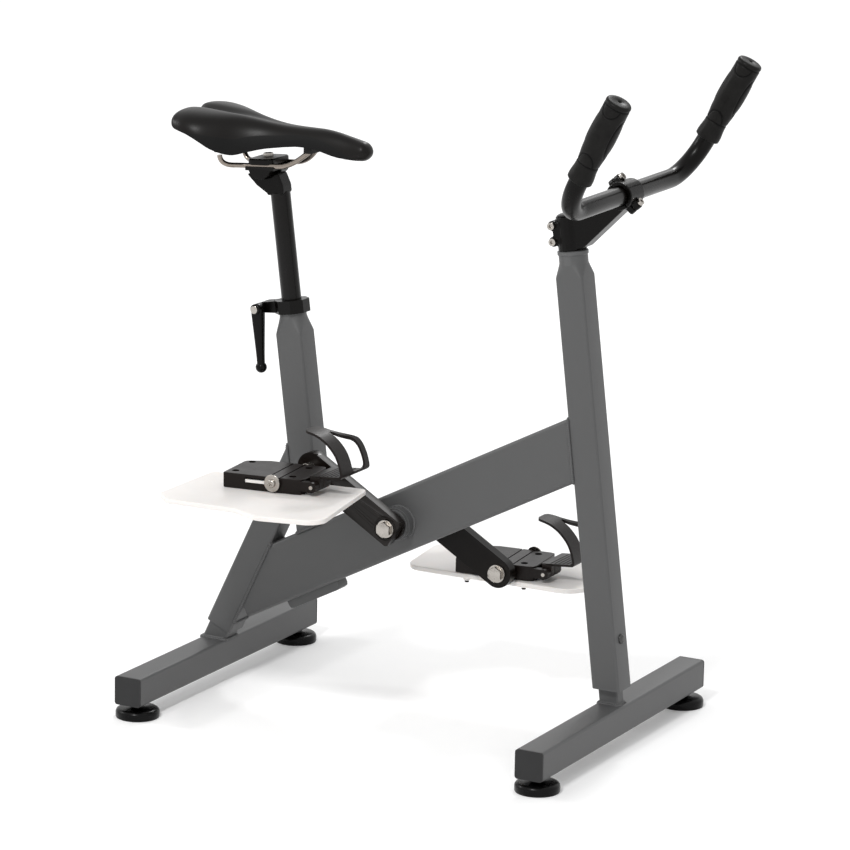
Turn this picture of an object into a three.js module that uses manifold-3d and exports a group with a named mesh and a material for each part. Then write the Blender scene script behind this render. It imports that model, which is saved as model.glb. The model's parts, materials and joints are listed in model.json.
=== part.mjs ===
// Aqua bike: a free-standing pool exercise bike that comes apart at its two base beams.
// Millimetres, +X forward, +Y to the rider's left, +Z up, floor at Z = 0.
import * as THREE from "three";
import { mergeVertices } from "three/addons/utils/BufferGeometryUtils.js";
import Module from "manifold-3d";

const wasm = await Module();
wasm.setup();

// Square frame tube and the clearance that every pair of touching pieces keeps
const tubeSide = 40;
const tubeWall = 3;
const tubeCorner = 4;
const fitGap = 0.3;
const cutReach = 1600;
const cutOverrun = 2;

// Base beams, their end caps and the levelling feet
const wheelbase = 610;
const rearBeamLength = 486;
const frontBeamLength = 498;
const capPlate = 2.5;
const capSpigot = 12;
const footHeight = 21;
const footRadius = 30;
const footSole = 8;
const footRound = 5;
const footNeckRadius = 9;
const footInset = 27;
const studRadius = 5;
const studRise = 24;
const studClearance = 0.6;
const footNutSize = 17;
const footNutHeight = 8;

// Leaning tubes, with each length measured along the tube from the top of its beam
const strutLean = 25.1;
const strutFoot = 21.5;
const strutToSeatTube = 320.5;
const seatTubeLean = 7.6;
const seatTubeShoulder = 166;
const seatTubeTop = 201.5;
const seatNeckRadius = 18;
const columnLean = 7.35;
const columnFootLift = 21.7;
const columnShoulder = 583;
const columnTop = 612;
const columnNeckRadius = 19;
const shoulderTaper = 14;

// Welded stubs that the strut and the column slip over, and their bolts
const stubRise = 110;
const strutStubSide = 33;
const columnStubDepth = 28;
const columnStubWidth = 20;
const columnStubSetback = 2;
const weldBead = 3.5;
const frameBoltPlace = 88;
const frameBoltRadius = 4;
const frameBoltLength = 20;
const frameBoltHeadRadius = 7;
const frameBoltHeadHeight = 4;

// Main beam and bottom bracket
const mainBeamHeight = 82;
const mainBeamRise = 27.6;
const mainBeamTail = 287;
const crankAxisX = 293;
const crankAxisRise = 208.5;
const shellRadius = 22.5;
const shellBoreRadius = 17.5;
const shellLength = 68;
const ribFront = 134;
const ribLength = 88;
const ribDepth = 12;
const ribWidth = 24;

// Crank spindle, bearings, crank arms and their bolts
const spindleRadius = 9.3;
const bearingRadius = 14;
const bearingWidth = 8;
const cupFlangeRadius = 21;
const cupFlange = 4.5;
const cupDepth = 12;
const crankLength = 135;
const crankAngle = 31.2;
const crankThickness = 16;
const crankInnerFace = 46;
const crankWidth = 41;
const crankHubOverhang = 15.5;
const crankBossInner = 41;
const crankBossRadius = 19;
const squareSide = 12.7;
const crankRecessRadius = 14;
const crankRecess = 2;
const edgeRound = 1.5;
const bigWasherRadius = 12.5;
const washerThickness = 2.2;
const bigHexSize = 19;
const bigHexHeight = 7;
const bigBoltRadius = 4.5;
const bigBoltReach = 18;

// Pedal axle and its end screw
const axleRadius = 5.5;
const axleFlangeRadius = 8;
const yawRoom = 2;
const endWasherRadius = 11.7;
const endScrewHeadRadius = 5.5;
const endScrewHead = 3.5;
const endScrewRadius = 2.5;
const endScrewReach = 14;

// Pedal block, the same part on both sides: places forward of the axle and to the left of its own middle line
const blockRear = -77.5;
const blockFront = 38.5;
const blockRightEdge = -35.5;
const blockLeftEdge = 49.8;
const rightBlockOffset = -128;
const leftBlockOffset = 107;
const blockYaw = 5.5;
const blockAboveAxle = 7.5;
const blockBelowAxle = 13;
const blockCorner = 8;
const blockCornerCut = 12;
const blockCornerCutLength = 32;
const grooveWidth = 2;
const grooveDepth = 1.6;
const rearGroove = -11;
const frontGroove = 6;
const rightPedalPitch = 0.6;
const leftPedalPitch = 0;
const rearBoltRow = -65.7;
const frontBoltRow = 18;
const rightBoltColumn = -19.8;
const leftBoltColumn = 33.5;
const pedalBoltRadius = 3;
const pedalBoltHeadRadius = 5;
const pedalBoltSink = 9;
const slotRear = -45;
const slotFront = -12;
const slotHeight = 7;
const slotDepth = 6;
const slideHeight = 4;

// Foot plate of the pedal: outline corners as places fore and aft of the axle and from the mid plane
const plateThickness = 7;
const leftPlateInner = 65;
const leftPlateOuter = 198;
const leftPlateRearInner = 151;
const leftPlateRearOuter = 168;
const leftPlateFrontInner = 117;
const leftPlateFrontOuter = 106;
const leftPlateFrontRadius = 34;
const plateRear = 131;
const plateFront = 129;
const plateFrontCorner = 116;
const plateInnerFront = 83;
const plateInnerRear = 100;
const plateOuterRear = 263;
const plateOuterFront = 284;
const plateCornerRadius = 26;
const plateInnerRadius = 10;
const plateRearCut = 24;
const plateFrontCut = 30;
const plateNoseCut = 13;
const plateInnerNose = 99;
const plateStepRear = -2;
const plateStepFront = 41;

// Toe cage and its hinge at the front of the block, square to the axle, to the left of the block's middle line
const hingeForward = 55;
const hingeBelowAxle = 1;
const knuckleRadius = 7.3;
const knuckleWidth = 10;
const firstKnuckle = -31;
const hingePinRadius = 3;
const hingePinOverhang = 1.5;
const cageRightEdge = -18;
const cageLeftEdge = 57.5;
const cageBaseLeftEdge = 45;
const cageBaseStart = 46;
const cageThickness = 3.3;
const cageBaseEnd = 92.5;
const cageBaseRise = 4.5;
const cageReach = 95.5;
const cageHeight = 67;
const tongueEnd = 36;
const cageSlotRadius = 7;

// Seat collar and its clamping lever
const collarAcrossFlats = 45;
const collarHeight = 18;
const collarLip = 2;
const earReach = 42;
const earRadius = 7;
const earOuter = 12;
const earSlit = 3;
const leverHubRadius = 7.3;
const leverHubOuter = 30;
const leverLength = 81;
const leverRootWidth = 15;
const leverTipWidth = 8.5;
const leverRootDepth = 13;
const leverTipDepth = 9;
const leverBallRadius = 7.8;
const leverLean = 4.5;
const collarScrewRadius = 3.5;
const collarScrewHeadRadius = 5.5;
const collarScrewHead = 2.5;
const collarNutSize = 11;
const collarNutHeight = 6;

// Seat post and the saddle clamp on its head
const postRadius = 13.6;
const postWall = 2.2;
const postClearance = 0.4;
const postBottom = 53;
const postTop = 350.5;
const headSetback = 13.6;
const tiltAxisRise = 390;
const headHalfWidth = 12.5;
const cradleRadius = 18;
const cradleLength = 44;
const cradleThickness = 6;
const railTilt = 4;
const railSpread = 22;
const railRadius = 3.5;
const clampHalfWidth = 26.5;
const clampPlateLength = 40;
const clampPlateHeight = 9;
const clampBoltRadius = 3.5;
const clampBoltHexSize = 12;
const clampBoltHexHeight = 5;

// Saddle, measured from the middle of the clamped rails
const saddleTail = 122.5;
const saddleLength = 281;
const saddleHalfWidth = 75;
const saddleRise = 71;
const channelHalfWidth = 12;
const channelDepth = 8;
const notchDepth = 20;
const notchHalfWidth = 20;
const shellThickness = 2.5;
const panGap = 0.9;
const railStraightRear = 38;
const railStraightFront = 30;
const railRearEnd = 57;
const railFrontEnd = 69;
const railRearSpread = 33;
const railFrontSpread = 10.5;
const railRearRise = 15;
const railFrontRise = 19;
const socketSide = 12;

// Steerer, stem and its face plate
const steererRadius = 14.3;
const steererWall = 3;
const steererInsert = 60;
const stemHeight = 45;
const stemWall = 4.7;
const stemSlit = 2;
const pinchBoltSetback = 19;
const pinchBoltLow = 13;
const pinchBoltHigh = 34;
const pinchBossRadius = 7;
const pinchBossHalfWidth = 17;
const smallBoltRadius = 2.5;
const smallBoltHeadRadius = 5;
const smallBoltHead = 4.5;
const barForward = 83.3;
const barRise = 71.2;
const barClampHalfWidth = 20;
const barClampWall = 6;
const faceTilt = 34;
const faceSplit = 1.2;
const faceBoltSpread = 20.4;
const faceBossRadius = 6.5;
const faceBossHeight = 9;
const extensionHalfWidth = 15;
const steererCapHeight = 3;

// Handlebar and grips
const barRadius = 12.7;
const barWall = 2.2;
const barCornerSpread = 189;
const barBendRadius = 57;
const gripTopForward = 82.8;
const gripTopSpread = 200;
const gripTopRise = 155.8;
const gripLength = 120;
const gripEndWall = 3;
const gripEndHole = 2.5;
const gripFlangeRadius = 16.7;
const gripWaistRadius = 15.2;
const gripBulgeRadius = 18.6;
const gripTopRadius = 17.3;

// Smoothness of round pieces
const tubeSides = 20;
const boreSides = 16;
const boltSides = 10;
const latheSides = 16;
const holeSides = 8;
const bendSteps = 7;
const saddleStations = 20;
const endCrowding = 0.35;
const cornerSteps = 2;
const railSides = 10;
const railBendSteps = 4;

const beamTop = footHeight + tubeSide;
const half = tubeSide / 2;
const bore = half - tubeWall;

function radians(degrees) {
  return THREE.MathUtils.degToRad(degrees);
}

// Booleans: geometry in, geometry out
function toSolid(geometry) {
  const source = geometry.clone();
  source.deleteAttribute("normal");
  source.deleteAttribute("uv");
  const welded = mergeVertices(source);
  const vertProperties = Float32Array.from(welded.attributes.position.array);
  const triVerts = Uint32Array.from(welded.index.array);
  return new wasm.Manifold(new wasm.Mesh({ numProp: 3, vertProperties, triVerts }));
}

function toGeometry(solid) {
  const mesh = solid.getMesh();
  const geometry = new THREE.BufferGeometry();
  geometry.setAttribute("position", new THREE.BufferAttribute(Float32Array.from(mesh.vertProperties), 3));
  geometry.setIndex(new THREE.BufferAttribute(Uint32Array.from(mesh.triVerts), 1));
  geometry.computeVertexNormals();
  return geometry;
}

function join(...pieces) {
  return toGeometry(pieces.map(toSolid).reduce((whole, piece) => whole.add(piece)));
}

function cut(base, ...tools) {
  return toGeometry(tools.map(toSolid).reduce((whole, tool) => whole.subtract(tool), toSolid(base)));
}

function common(base, ...others) {
  return toGeometry(others.map(toSolid).reduce((whole, other) => whole.intersect(other), toSolid(base)));
}

function at(geometry, x, y, z) {
  return geometry.translate(x, y, z);
}

// A tool given in one group's frame, carried into another group's frame
function carried(tool, from, to) {
  from.updateWorldMatrix(true, false);
  to.updateWorldMatrix(true, false);
  return tool.clone().applyMatrix4(from.matrixWorld).applyMatrix4(to.matrixWorld.clone().invert());
}

// Plain solids
function box(x, y, z) {
  return new THREE.BoxGeometry(x, y, z);
}

function rodX(radius, length, sides = boltSides) {
  return new THREE.CylinderGeometry(radius, radius, length, sides).rotateZ(-Math.PI / 2);
}

function rodY(radius, length, sides = boltSides) {
  return new THREE.CylinderGeometry(radius, radius, length, sides);
}

function rodZ(radius, length, sides = boltSides) {
  return new THREE.CylinderGeometry(radius, radius, length, sides).rotateX(Math.PI / 2);
}

function hexX(acrossFlats, length) {
  return rodX(acrossFlats / Math.sqrt(3), length, 6);
}

function hexY(acrossFlats, length) {
  return rodY(acrossFlats / Math.sqrt(3), length, 6);
}

function hexZ(acrossFlats, length) {
  return rodZ(acrossFlats / Math.sqrt(3), length, 6);
}

// Everything on the far side of a plane: axis is "x" or "z", sign is the side that the block fills
function beyond(axis, place, sign) {
  const middle = place + (sign * cutReach) / 2;
  return axis === "x" ? at(box(cutReach, cutReach, cutReach), middle, 0, 0)
    : at(box(cutReach, cutReach, cutReach), 0, 0, middle);
}

function roundedRectangle(width, height, radius) {
  const x = width / 2;
  const y = height / 2;
  const shape = new THREE.Shape();
  shape.moveTo(x - radius, -y);
  shape.absarc(x - radius, -y + radius, radius, -Math.PI / 2, 0, false);
  shape.absarc(x - radius, y - radius, radius, 0, Math.PI / 2, false);
  shape.absarc(-x + radius, y - radius, radius, Math.PI / 2, Math.PI, false);
  shape.absarc(-x + radius, -y + radius, radius, Math.PI, Math.PI * 1.5, false);
  return shape;
}

// A closed outline whose corners are rounded; each corner is [x, y, radius]
function roundedOutline(corners) {
  const shape = new THREE.Shape();
  corners.forEach(([x, y, radius], index) => {
    const corner = new THREE.Vector2(x, y);
    const before = corners[(index + corners.length - 1) % corners.length];
    const after = corners[(index + 1) % corners.length];
    const back = new THREE.Vector2(before[0], before[1]).sub(corner);
    const ahead = new THREE.Vector2(after[0], after[1]).sub(corner);
    const turn = Math.abs(back.angleTo(ahead));
    const reach = Math.min(radius / Math.tan(turn / 2), back.length() / 2, ahead.length() / 2);
    const start = back.setLength(reach).add(corner);
    const end = ahead.setLength(reach).add(corner);
    if (index === 0) {
      shape.moveTo(start.x, start.y);
    } else {
      shape.lineTo(start.x, start.y);
    }
    shape.quadraticCurveTo(corner.x, corner.y, end.x, end.y);
  });
  return shape;
}

// An outline in X and Y extruded along +Z, or in X and Z extruded along Y about the mid plane
function slab(shape, height, round = 0, steps = cornerSteps) {
  const bevel = { bevelEnabled: round > 0, bevelThickness: round, bevelSize: round, bevelOffset: -round };
  const settings = { depth: height - 2 * round, bevelSegments: 1, curveSegments: steps, ...bevel };
  return new THREE.ExtrudeGeometry(shape, settings).translate(0, 0, round);
}

function upright(shape, width, round = 0, steps = cornerSteps) {
  return at(slab(shape, width, round, steps).rotateX(Math.PI / 2), 0, width / 2, 0);
}

function squareTube(depth, width, wall, corner, length) {
  const shape = roundedRectangle(depth, width, corner);
  const inside = roundedRectangle(depth - 2 * wall, width - 2 * wall, corner / 2);
  shape.holes.push(inside);
  return slab(shape, length);
}

// A flat ring for a weld bead: a rectangle with cut corners
function beadRing(depth, width, height) {
  const x = depth / 2;
  const y = width / 2;
  const snip = weldBead;
  const corners = [[x, y - snip], [x - snip, y], [snip - x, y], [-x, y - snip],
    [-x, snip - y], [snip - x, -y], [x - snip, -y], [x, snip - y]];
  return corners.map(([cornerX, cornerY]) => new THREE.Vector3(cornerX, cornerY, height));
}

// A closed solid through rings of points, each ring anticlockwise seen from the last one
function loft(rings) {
  const count = rings[0].length;
  const positions = [];
  const index = [];
  rings.forEach((ring) => ring.forEach((point) => positions.push(point.x, point.y, point.z)));
  const middle = (ring) => ring.reduce((sum, point) => sum.add(point), new THREE.Vector3()).divideScalar(count);
  const first = middle(rings[0]);
  const last = middle(rings[rings.length - 1]);
  positions.push(first.x, first.y, first.z, last.x, last.y, last.z);
  const firstIndex = rings.length * count;
  const lastRing = (rings.length - 1) * count;
  for (let side = 0; side < count; side += 1) {
    const next = (side + 1) % count;
    for (let ring = 0; ring < rings.length - 1; ring += 1) {
      const low = ring * count;
      const high = low + count;
      index.push(low + side, low + next, high + next, low + side, high + next, high + side);
    }
    index.push(firstIndex, next, side, firstIndex + 1, lastRing + side, lastRing + next);
  }
  const geometry = new THREE.BufferGeometry();
  geometry.setAttribute("position", new THREE.Float32BufferAttribute(positions, 3));
  geometry.setIndex(index);
  geometry.computeVertexNormals();
  return geometry;
}

// A horizontal ring of a rounded square or, with the corner as large as half the side, of a circle
function squareRing(side, corner, height) {
  const perCorner = tubeSides / 4;
  const inner = side / 2 - corner;
  return Array.from({ length: tubeSides }, (_, point) => {
    const quarter = Math.floor(point / perCorner);
    const angle = ((point + 0.5) * 2 * Math.PI) / tubeSides;
    const cornerX = quarter === 0 || quarter === 3 ? inner : -inner;
    const cornerY = quarter < 2 ? inner : -inner;
    return new THREE.Vector3(cornerX + corner * Math.cos(angle), cornerY + corner * Math.sin(angle), height);
  });
}

// A round rod along points, with a ring of sides square to the path at each point
function rodAlong(points, radius, sides) {
  const tangent = points.map((point, place) => {
    const before = points[Math.max(place - 1, 0)];
    const after = points[Math.min(place + 1, points.length - 1)];
    return after.clone().sub(before).normalize();
  });
  const sideways = Math.abs(tangent[0].y) > Math.abs(tangent[0].z)
    ? new THREE.Vector3(0, 0, 1) : new THREE.Vector3(0, 1, 0);
  let normal = sideways.addScaledVector(tangent[0], -sideways.dot(tangent[0])).normalize();
  const rings = points.map((point, place) => {
    if (place > 0) {
      const turn = new THREE.Quaternion().setFromUnitVectors(tangent[place - 1], tangent[place]);
      normal = normal.clone().applyQuaternion(turn);
    }
    const binormal = tangent[place].clone().cross(normal);
    return Array.from({ length: sides }, (_, side) => {
      const angle = (side * 2 * Math.PI) / sides;
      const along = normal.clone().multiplyScalar(radius * Math.cos(angle));
      return along.addScaledVector(binormal, radius * Math.sin(angle)).add(point);
    });
  });
  return loft(rings);
}

// Values between hand-set places, given as [place, value] pairs
function between(pairs, place) {
  const next = pairs.findIndex(([x]) => x >= place);
  if (next <= 0) {
    return next === 0 ? pairs[0][1] : pairs[pairs.length - 1][1];
  }
  const [x0, y0] = pairs[next - 1];
  const [x1, y1] = pairs[next];
  const share = (place - x0) / (x1 - x0);
  const eased = share * share * (3 - 2 * share);
  return y0 + (y1 - y0) * (0.5 * share + 0.5 * eased);
}

// Finishes
const satinGrey = () => new THREE.MeshStandardMaterial({ color: "#626262", roughness: 0.5, metalness: 0.1 });
const darkPlastic = () => new THREE.MeshStandardMaterial({ color: "#3b3b3b", roughness: 0.6, metalness: 0 });
const glossBlack = () => new THREE.MeshStandardMaterial({ color: "#151515", roughness: 0.3, metalness: 0.3 });
const blackPlastic = () => new THREE.MeshStandardMaterial({ color: "#1d1b1a", roughness: 0.5, metalness: 0 });
const rubber = () => new THREE.MeshStandardMaterial({ color: "#2a2827", roughness: 0.8, metalness: 0 });
const stainless = () => new THREE.MeshStandardMaterial({ color: "#c6c3bd", roughness: 0.3, metalness: 1 });
const whitePlastic = () => new THREE.MeshStandardMaterial({ color: "#eeeae4", roughness: 0.5, metalness: 0 });
const cover = () => new THREE.MeshStandardMaterial({ color: "#242220", roughness: 0.55, metalness: 0 });

function part(name, geometry, material) {
  const mesh = new THREE.Mesh(geometry, material());
  mesh.name = name;
  return mesh;
}

function frameAt(parent, x, y, z, turnDegrees) {
  const group = new THREE.Group();
  group.position.set(x, y, z);
  group.rotation.y = radians(turnDegrees);
  parent.add(group);
  return group;
}

const bike = new THREE.Group();
const strutFrame = frameAt(bike, 0, 0, beamTop, strutLean);
const crossing = new THREE.Vector3(0, 0, strutToSeatTube).applyEuler(strutFrame.rotation).add(strutFrame.position);
const seatFrame = frameAt(bike, crossing.x, 0, crossing.z, -seatTubeLean);
const crankFrame = frameAt(bike, crankAxisX, 0, beamTop + crankAxisRise, 0);
const beamFrame = frameAt(crankFrame, 0, 0, 0, -mainBeamRise);
const columnFrame = frameAt(bike, wheelbase, 0, beamTop, -columnLean);

// Base beams: square tubes across the bike, drilled from below for the feet
function footPlaces(length) {
  return [-(length / 2 - footInset), length / 2 - footInset];
}

function weldNut(y) {
  const nut = cut(hexZ(footNutSize, footNutHeight), rodZ(studRadius + studClearance / 2, 2 * footNutHeight));
  return at(nut, 0, y, -bore + footNutHeight / 2 - fitGap);
}

function baseBeam(name, x, length, frame, stubBody) {
  const tubeLength = length - 2 * (capPlate + fitGap);
  const tube = at(squareTube(tubeSide, tubeSide, tubeWall, tubeCorner, tubeLength), 0, 0, -tubeLength / 2);
  const holes = footPlaces(length).map((y) =>
    at(rodZ(studRadius + studClearance, tubeWall + 2 * cutOverrun), 0, y, -half + tubeWall / 2));
  const mesh = part(name, tube, satinGrey);
  mesh.position.set(x, 0, footHeight + half);
  bike.add(mesh);
  const nuts = footPlaces(length).map(weldNut);
  mesh.geometry = join(cut(tube.rotateX(Math.PI / 2), ...holes), ...nuts, carried(stubBody, frame, mesh));
}

function endCap(name, x, y) {
  const plate = slab(roundedRectangle(tubeSide, tubeSide, tubeCorner), capPlate);
  const spigotSide = 2 * (bore - fitGap);
  const spigot = slab(roundedRectangle(spigotSide, spigotSide, tubeCorner / 2), capSpigot + capPlate / 2);
  const cap = join(plate, at(spigot, 0, 0, -capSpigot));
  const sign = Math.sign(y);
  const mesh = part(name, cap.rotateX(-sign * (Math.PI / 2)), darkPlastic);
  mesh.position.set(x, y - sign * capPlate, footHeight + half);
  bike.add(mesh);
}

function foot(name, x, y) {
  const top = footSole + footRound;
  const rim = (angle) => new THREE.Vector2(
    footRadius - footRound + footRound * Math.cos(angle), footSole + footRound * Math.sin(angle));
  const profile = [
    new THREE.Vector2(0, 0),
    new THREE.Vector2(footRadius - edgeRound, 0),
    new THREE.Vector2(footRadius, edgeRound),
    rim(0), rim(Math.PI / 4), rim(Math.PI / 2),
    new THREE.Vector2(footNeckRadius, top + edgeRound),
    new THREE.Vector2(footNeckRadius, footHeight - fitGap),
    new THREE.Vector2(studRadius, footHeight - fitGap),
    new THREE.Vector2(studRadius, footHeight + studRise),
    new THREE.Vector2(0, footHeight + studRise),
  ];
  const mesh = part(name, new THREE.LatheGeometry(profile, latheSides).rotateX(Math.PI / 2), glossBlack);
  mesh.position.set(x, y, 0);
  bike.add(mesh);
}

// Stubs: short tubes welded on the beams, with a bead around the foot; weldReach lets them melt into the beam
function stub(frame, depth, width, setback) {
  const wall = tubeWall;
  const tube = at(squareTube(depth, width, wall, wall, stubRise + tubeSide), -setback, 0, -tubeSide);
  const reach = depth / Math.cos(frame.rotation.y);
  const slope = Math.tan(frame.rotation.y);
  const bead = loft([
    beadRing(reach + 2 * weldBead, width + 2 * weldBead, -wall / 2),
    beadRing(reach + 2 * weldBead, width + 2 * weldBead, 0),
    beadRing(reach + fitGap, width + fitGap, weldBead),
  ]);
  at(bead, frame.position.x - setback, 0, beamTop);
  const inside = at(box(depth - 2 * wall, width - 2 * wall, 2 * cutReach), -setback, 0, 0);
  const below = beyond("z", beamTop - wall / 2, -1);
  const place = slope > 0 ? -setback - depth / 2 : depth / 2 - setback;
  const hole = at(rodX(frameBoltRadius + fitGap, 2 * wall + cutOverrun), place, 0, frameBoltPlace);
  const body = join(cut(tube, carried(below, bike, frame)), carried(bead, bike, frame));
  const hollowFrom = carried(beyond("z", beamTop, 1), bike, frame);
  return cut(body, common(inside, hollowFrom), hole);
}

// Rear strut: square cut at its foot, and cut along the back of the seat tube at its top
function rearStrut() {
  const tube = at(squareTube(tubeSide, tubeSide, tubeWall, tubeCorner, strutToSeatTube + tubeSide), 0, 0, strutFoot);
  const ahead = carried(beyond("x", -half - fitGap, 1), seatFrame, strutFrame);
  const hole = at(rodX(frameBoltRadius + fitGap, 2 * tubeWall + cutOverrun), -half, 0, frameBoltPlace);
  strutFrame.add(part("rear_strut", cut(tube, ahead, hole), satinGrey));
}

// A square tube whose top narrows to a round neck
function neckedTube(bottom, shoulder, top, neckRadius, boreRadius) {
  const outer = loft([
    squareRing(tubeSide, tubeCorner, bottom),
    squareRing(tubeSide, tubeCorner, shoulder),
    squareRing(2 * neckRadius, neckRadius, shoulder + shoulderTaper),
    squareRing(2 * neckRadius, neckRadius, top),
  ]);
  const hollow = loft([
    squareRing(2 * bore, tubeCorner / 2, bottom - cutOverrun),
    squareRing(2 * bore, tubeCorner / 2, shoulder - tubeWall),
    squareRing(2 * boreRadius, boreRadius, shoulder + tubeWall),
    squareRing(2 * boreRadius, boreRadius, top + cutOverrun),
  ]);
  return cut(outer, hollow);
}

function seatTube() {
  const bottom = -(strutToSeatTube / 2);
  const tube = neckedTube(bottom, seatTubeShoulder, seatTubeTop, seatNeckRadius, postRadius + postClearance);
  const below = carried(beyond("z", mainBeamHeight / 2 + fitGap, -1), beamFrame, seatFrame);
  seatFrame.add(part("seat_tube", cut(tube, below), satinGrey));
}

function frontColumn() {
  const tube = neckedTube(-tubeSide, columnShoulder, columnTop, columnNeckRadius, steererRadius + fitGap);
  const below = carried(beyond("z", beamTop + columnFootLift, -1), bike, columnFrame);
  const hole = at(rodX(frameBoltRadius + fitGap, 2 * tubeWall + cutOverrun), half, 0, frameBoltPlace);
  columnFrame.add(part("front_column", cut(tube, below, hole), satinGrey));
}

// Main beam: coped on the strut and the column, with the bottom bracket shell and a bar welded to it
function mainBeam() {
  const length = mainBeamTail + wheelbase;
  const shape = roundedRectangle(mainBeamHeight, tubeSide, tubeCorner + edgeRound);
  shape.holes.push(roundedRectangle(mainBeamHeight - 2 * tubeWall, tubeSide - 2 * tubeWall, tubeCorner / 2));
  const tube = at(slab(shape, length).rotateY(Math.PI / 2), -mainBeamTail, 0, 0);
  const behind = carried(beyond("x", half + fitGap, -1), strutFrame, beamFrame);
  const ahead = carried(beyond("x", -half - fitGap, 1), columnFrame, beamFrame);
  const shell = rodY(shellRadius, shellLength, tubeSides);
  const shellBore = rodY(shellBoreRadius, 2 * shellLength, tubeSides);
  const beam = cut(join(cut(tube, behind, ahead), beamRib(), shell), shellBore);
  beamFrame.add(part("main_beam", beam, satinGrey));
}

function beamRib() {
  const low = -mainBeamHeight / 2 - ribDepth;
  const rib = roundedOutline([
    [-ribFront - ribLength, low, ribDepth / 2],
    [-ribFront, low, ribDepth / 2],
    [-ribFront, low + ribDepth + tubeWall / 2, edgeRound],
    [-ribFront - ribLength, low + ribDepth + tubeWall / 2, edgeRound],
  ]);
  return upright(rib, ribWidth);
}

// Button head bolts that hold the strut and the column on their stubs
function buttonBolt(sign) {
  const head = new THREE.LatheGeometry([
    new THREE.Vector2(0, 0),
    new THREE.Vector2(frameBoltHeadRadius, 0),
    new THREE.Vector2(frameBoltHeadRadius, frameBoltHeadHeight / 4),
    new THREE.Vector2(frameBoltHeadRadius * 0.6, frameBoltHeadHeight),
    new THREE.Vector2(0, frameBoltHeadHeight),
  ], boltSides).rotateZ(-Math.PI / 2);
  const shank = at(rodX(frameBoltRadius, frameBoltLength), -frameBoltLength / 2 + edgeRound, 0, 0);
  const bolt = join(head, shank);
  return sign > 0 ? bolt : bolt.rotateZ(Math.PI);
}

function frameBolt(name, frame, sign) {
  frame.add(part(name, at(buttonBolt(sign), sign * (half + fitGap), 0, frameBoltPlace), stainless));
}

// Bottom bracket: cups screwed in the shell, ball bearings, square spindle
function bearingCup(name, side) {
  const faceY = shellLength / 2 + fitGap;
  const flange = at(rodY(cupFlangeRadius, cupFlange, tubeSides), 0, side * (faceY + cupFlange / 2), 0);
  const sleeveLength = cupDepth + cupFlange / 2;
  const sleeve = at(rodY(shellBoreRadius - fitGap, sleeveLength, tubeSides),
    0, side * (faceY + cupFlange / 2 - sleeveLength / 2), 0);
  const cup = cut(join(flange, sleeve), rodY(bearingRadius + fitGap, 2 * shellLength, boreSides));
  crankFrame.add(part(name, cup, glossBlack));
}

function crankBearing(name, side) {
  const ring = cut(rodY(bearingRadius, bearingWidth, boreSides), rodY(spindleRadius + fitGap, 2 * bearingWidth, boreSides));
  const y = side * (shellLength / 2 + fitGap - bearingWidth / 2);
  crankFrame.add(part(name, at(ring, 0, y, 0), stainless));
}

const crankOuterFace = crankInnerFace + crankThickness;
const recessFace = crankOuterFace - crankRecess;
const spindleEnd = recessFace - crankRecess - fitGap;

function crankSpindle(crankBody) {
  const barrel = rodY(spindleRadius, 2 * (crankBossInner - fitGap), boltSides);
  const square = box(squareSide, 2 * spindleEnd, squareSide).rotateY(radians(crankAngle));
  const threads = [-1, 1].map((side) =>
    at(rodY(bigBoltRadius + fitGap, 2 * bigBoltReach), 0, side * spindleEnd, 0));
  crankBody.add(part("crank_spindle", cut(join(barrel, square), ...threads), stainless));
}

function crankArm(name, side, crankBody) {
  const arm = frameAt(crankBody, 0, 0, 0, side < 0 ? 180 + crankAngle : crankAngle);
  const end = crankWidth / 2;
  const outline = new THREE.Shape();
  outline.moveTo(-crankHubOverhang, -end);
  outline.lineTo(crankLength, -end);
  outline.absarc(crankLength, 0, end, -Math.PI / 2, Math.PI / 2, false);
  outline.lineTo(-crankHubOverhang, end);
  outline.closePath();
  const middle = side * (crankInnerFace + crankThickness / 2);
  const bar = at(upright(outline, crankThickness, edgeRound, boltSides / 2), 0, middle, 0);
  const bossLength = crankInnerFace - crankBossInner + edgeRound;
  const boss = at(rodY(crankBossRadius, bossLength, tubeSides), 0, side * (crankBossInner + bossLength / 2), 0);
  const squareHole = box(squareSide + 2 * fitGap, 2 * recessFace - 2 * crankRecess, squareSide + 2 * fitGap);
  const hubHole = at(rodY(bigBoltRadius + fitGap, 2 * crankThickness), 0, side * crankOuterFace, 0);
  const recess = at(rodY(crankRecessRadius, 2 * crankRecess, boreSides), 0, side * crankOuterFace, 0);
  const axleHole = at(rodY(bigBoltRadius + fitGap, 2 * crankThickness), crankLength, middle, 0);
  arm.add(part(name, cut(join(bar, boss), squareHole, hubHole, recess, axleHole), glossBlack));
  return arm;
}

// A hex head bolt with its washer, pointing along Y from under the head towards the given side
function hexBolt(seatY, outward, reach) {
  const washer = at(rodY(bigWasherRadius, washerThickness, boreSides), 0, seatY + outward * (washerThickness / 2), 0);
  const head = at(hexY(bigHexSize, bigHexHeight + edgeRound),
    0, seatY + outward * (washerThickness + (bigHexHeight - edgeRound) / 2), 0);
  const shank = at(rodY(bigBoltRadius, reach + edgeRound), 0, seatY - outward * ((reach - edgeRound) / 2), 0);
  return join(washer, head, shank);
}

function axleEnd(side) {
  const blockFace = side < 0 ? -rightBlockOffset - blockRightEdge : leftBlockOffset + blockLeftEdge;
  return blockFace + yawRoom;
}

function hubBolt(name, side, arm) {
  arm.add(part(name, hexBolt(side * (recessFace + fitGap), side, bigBoltReach), stainless));
}

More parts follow.
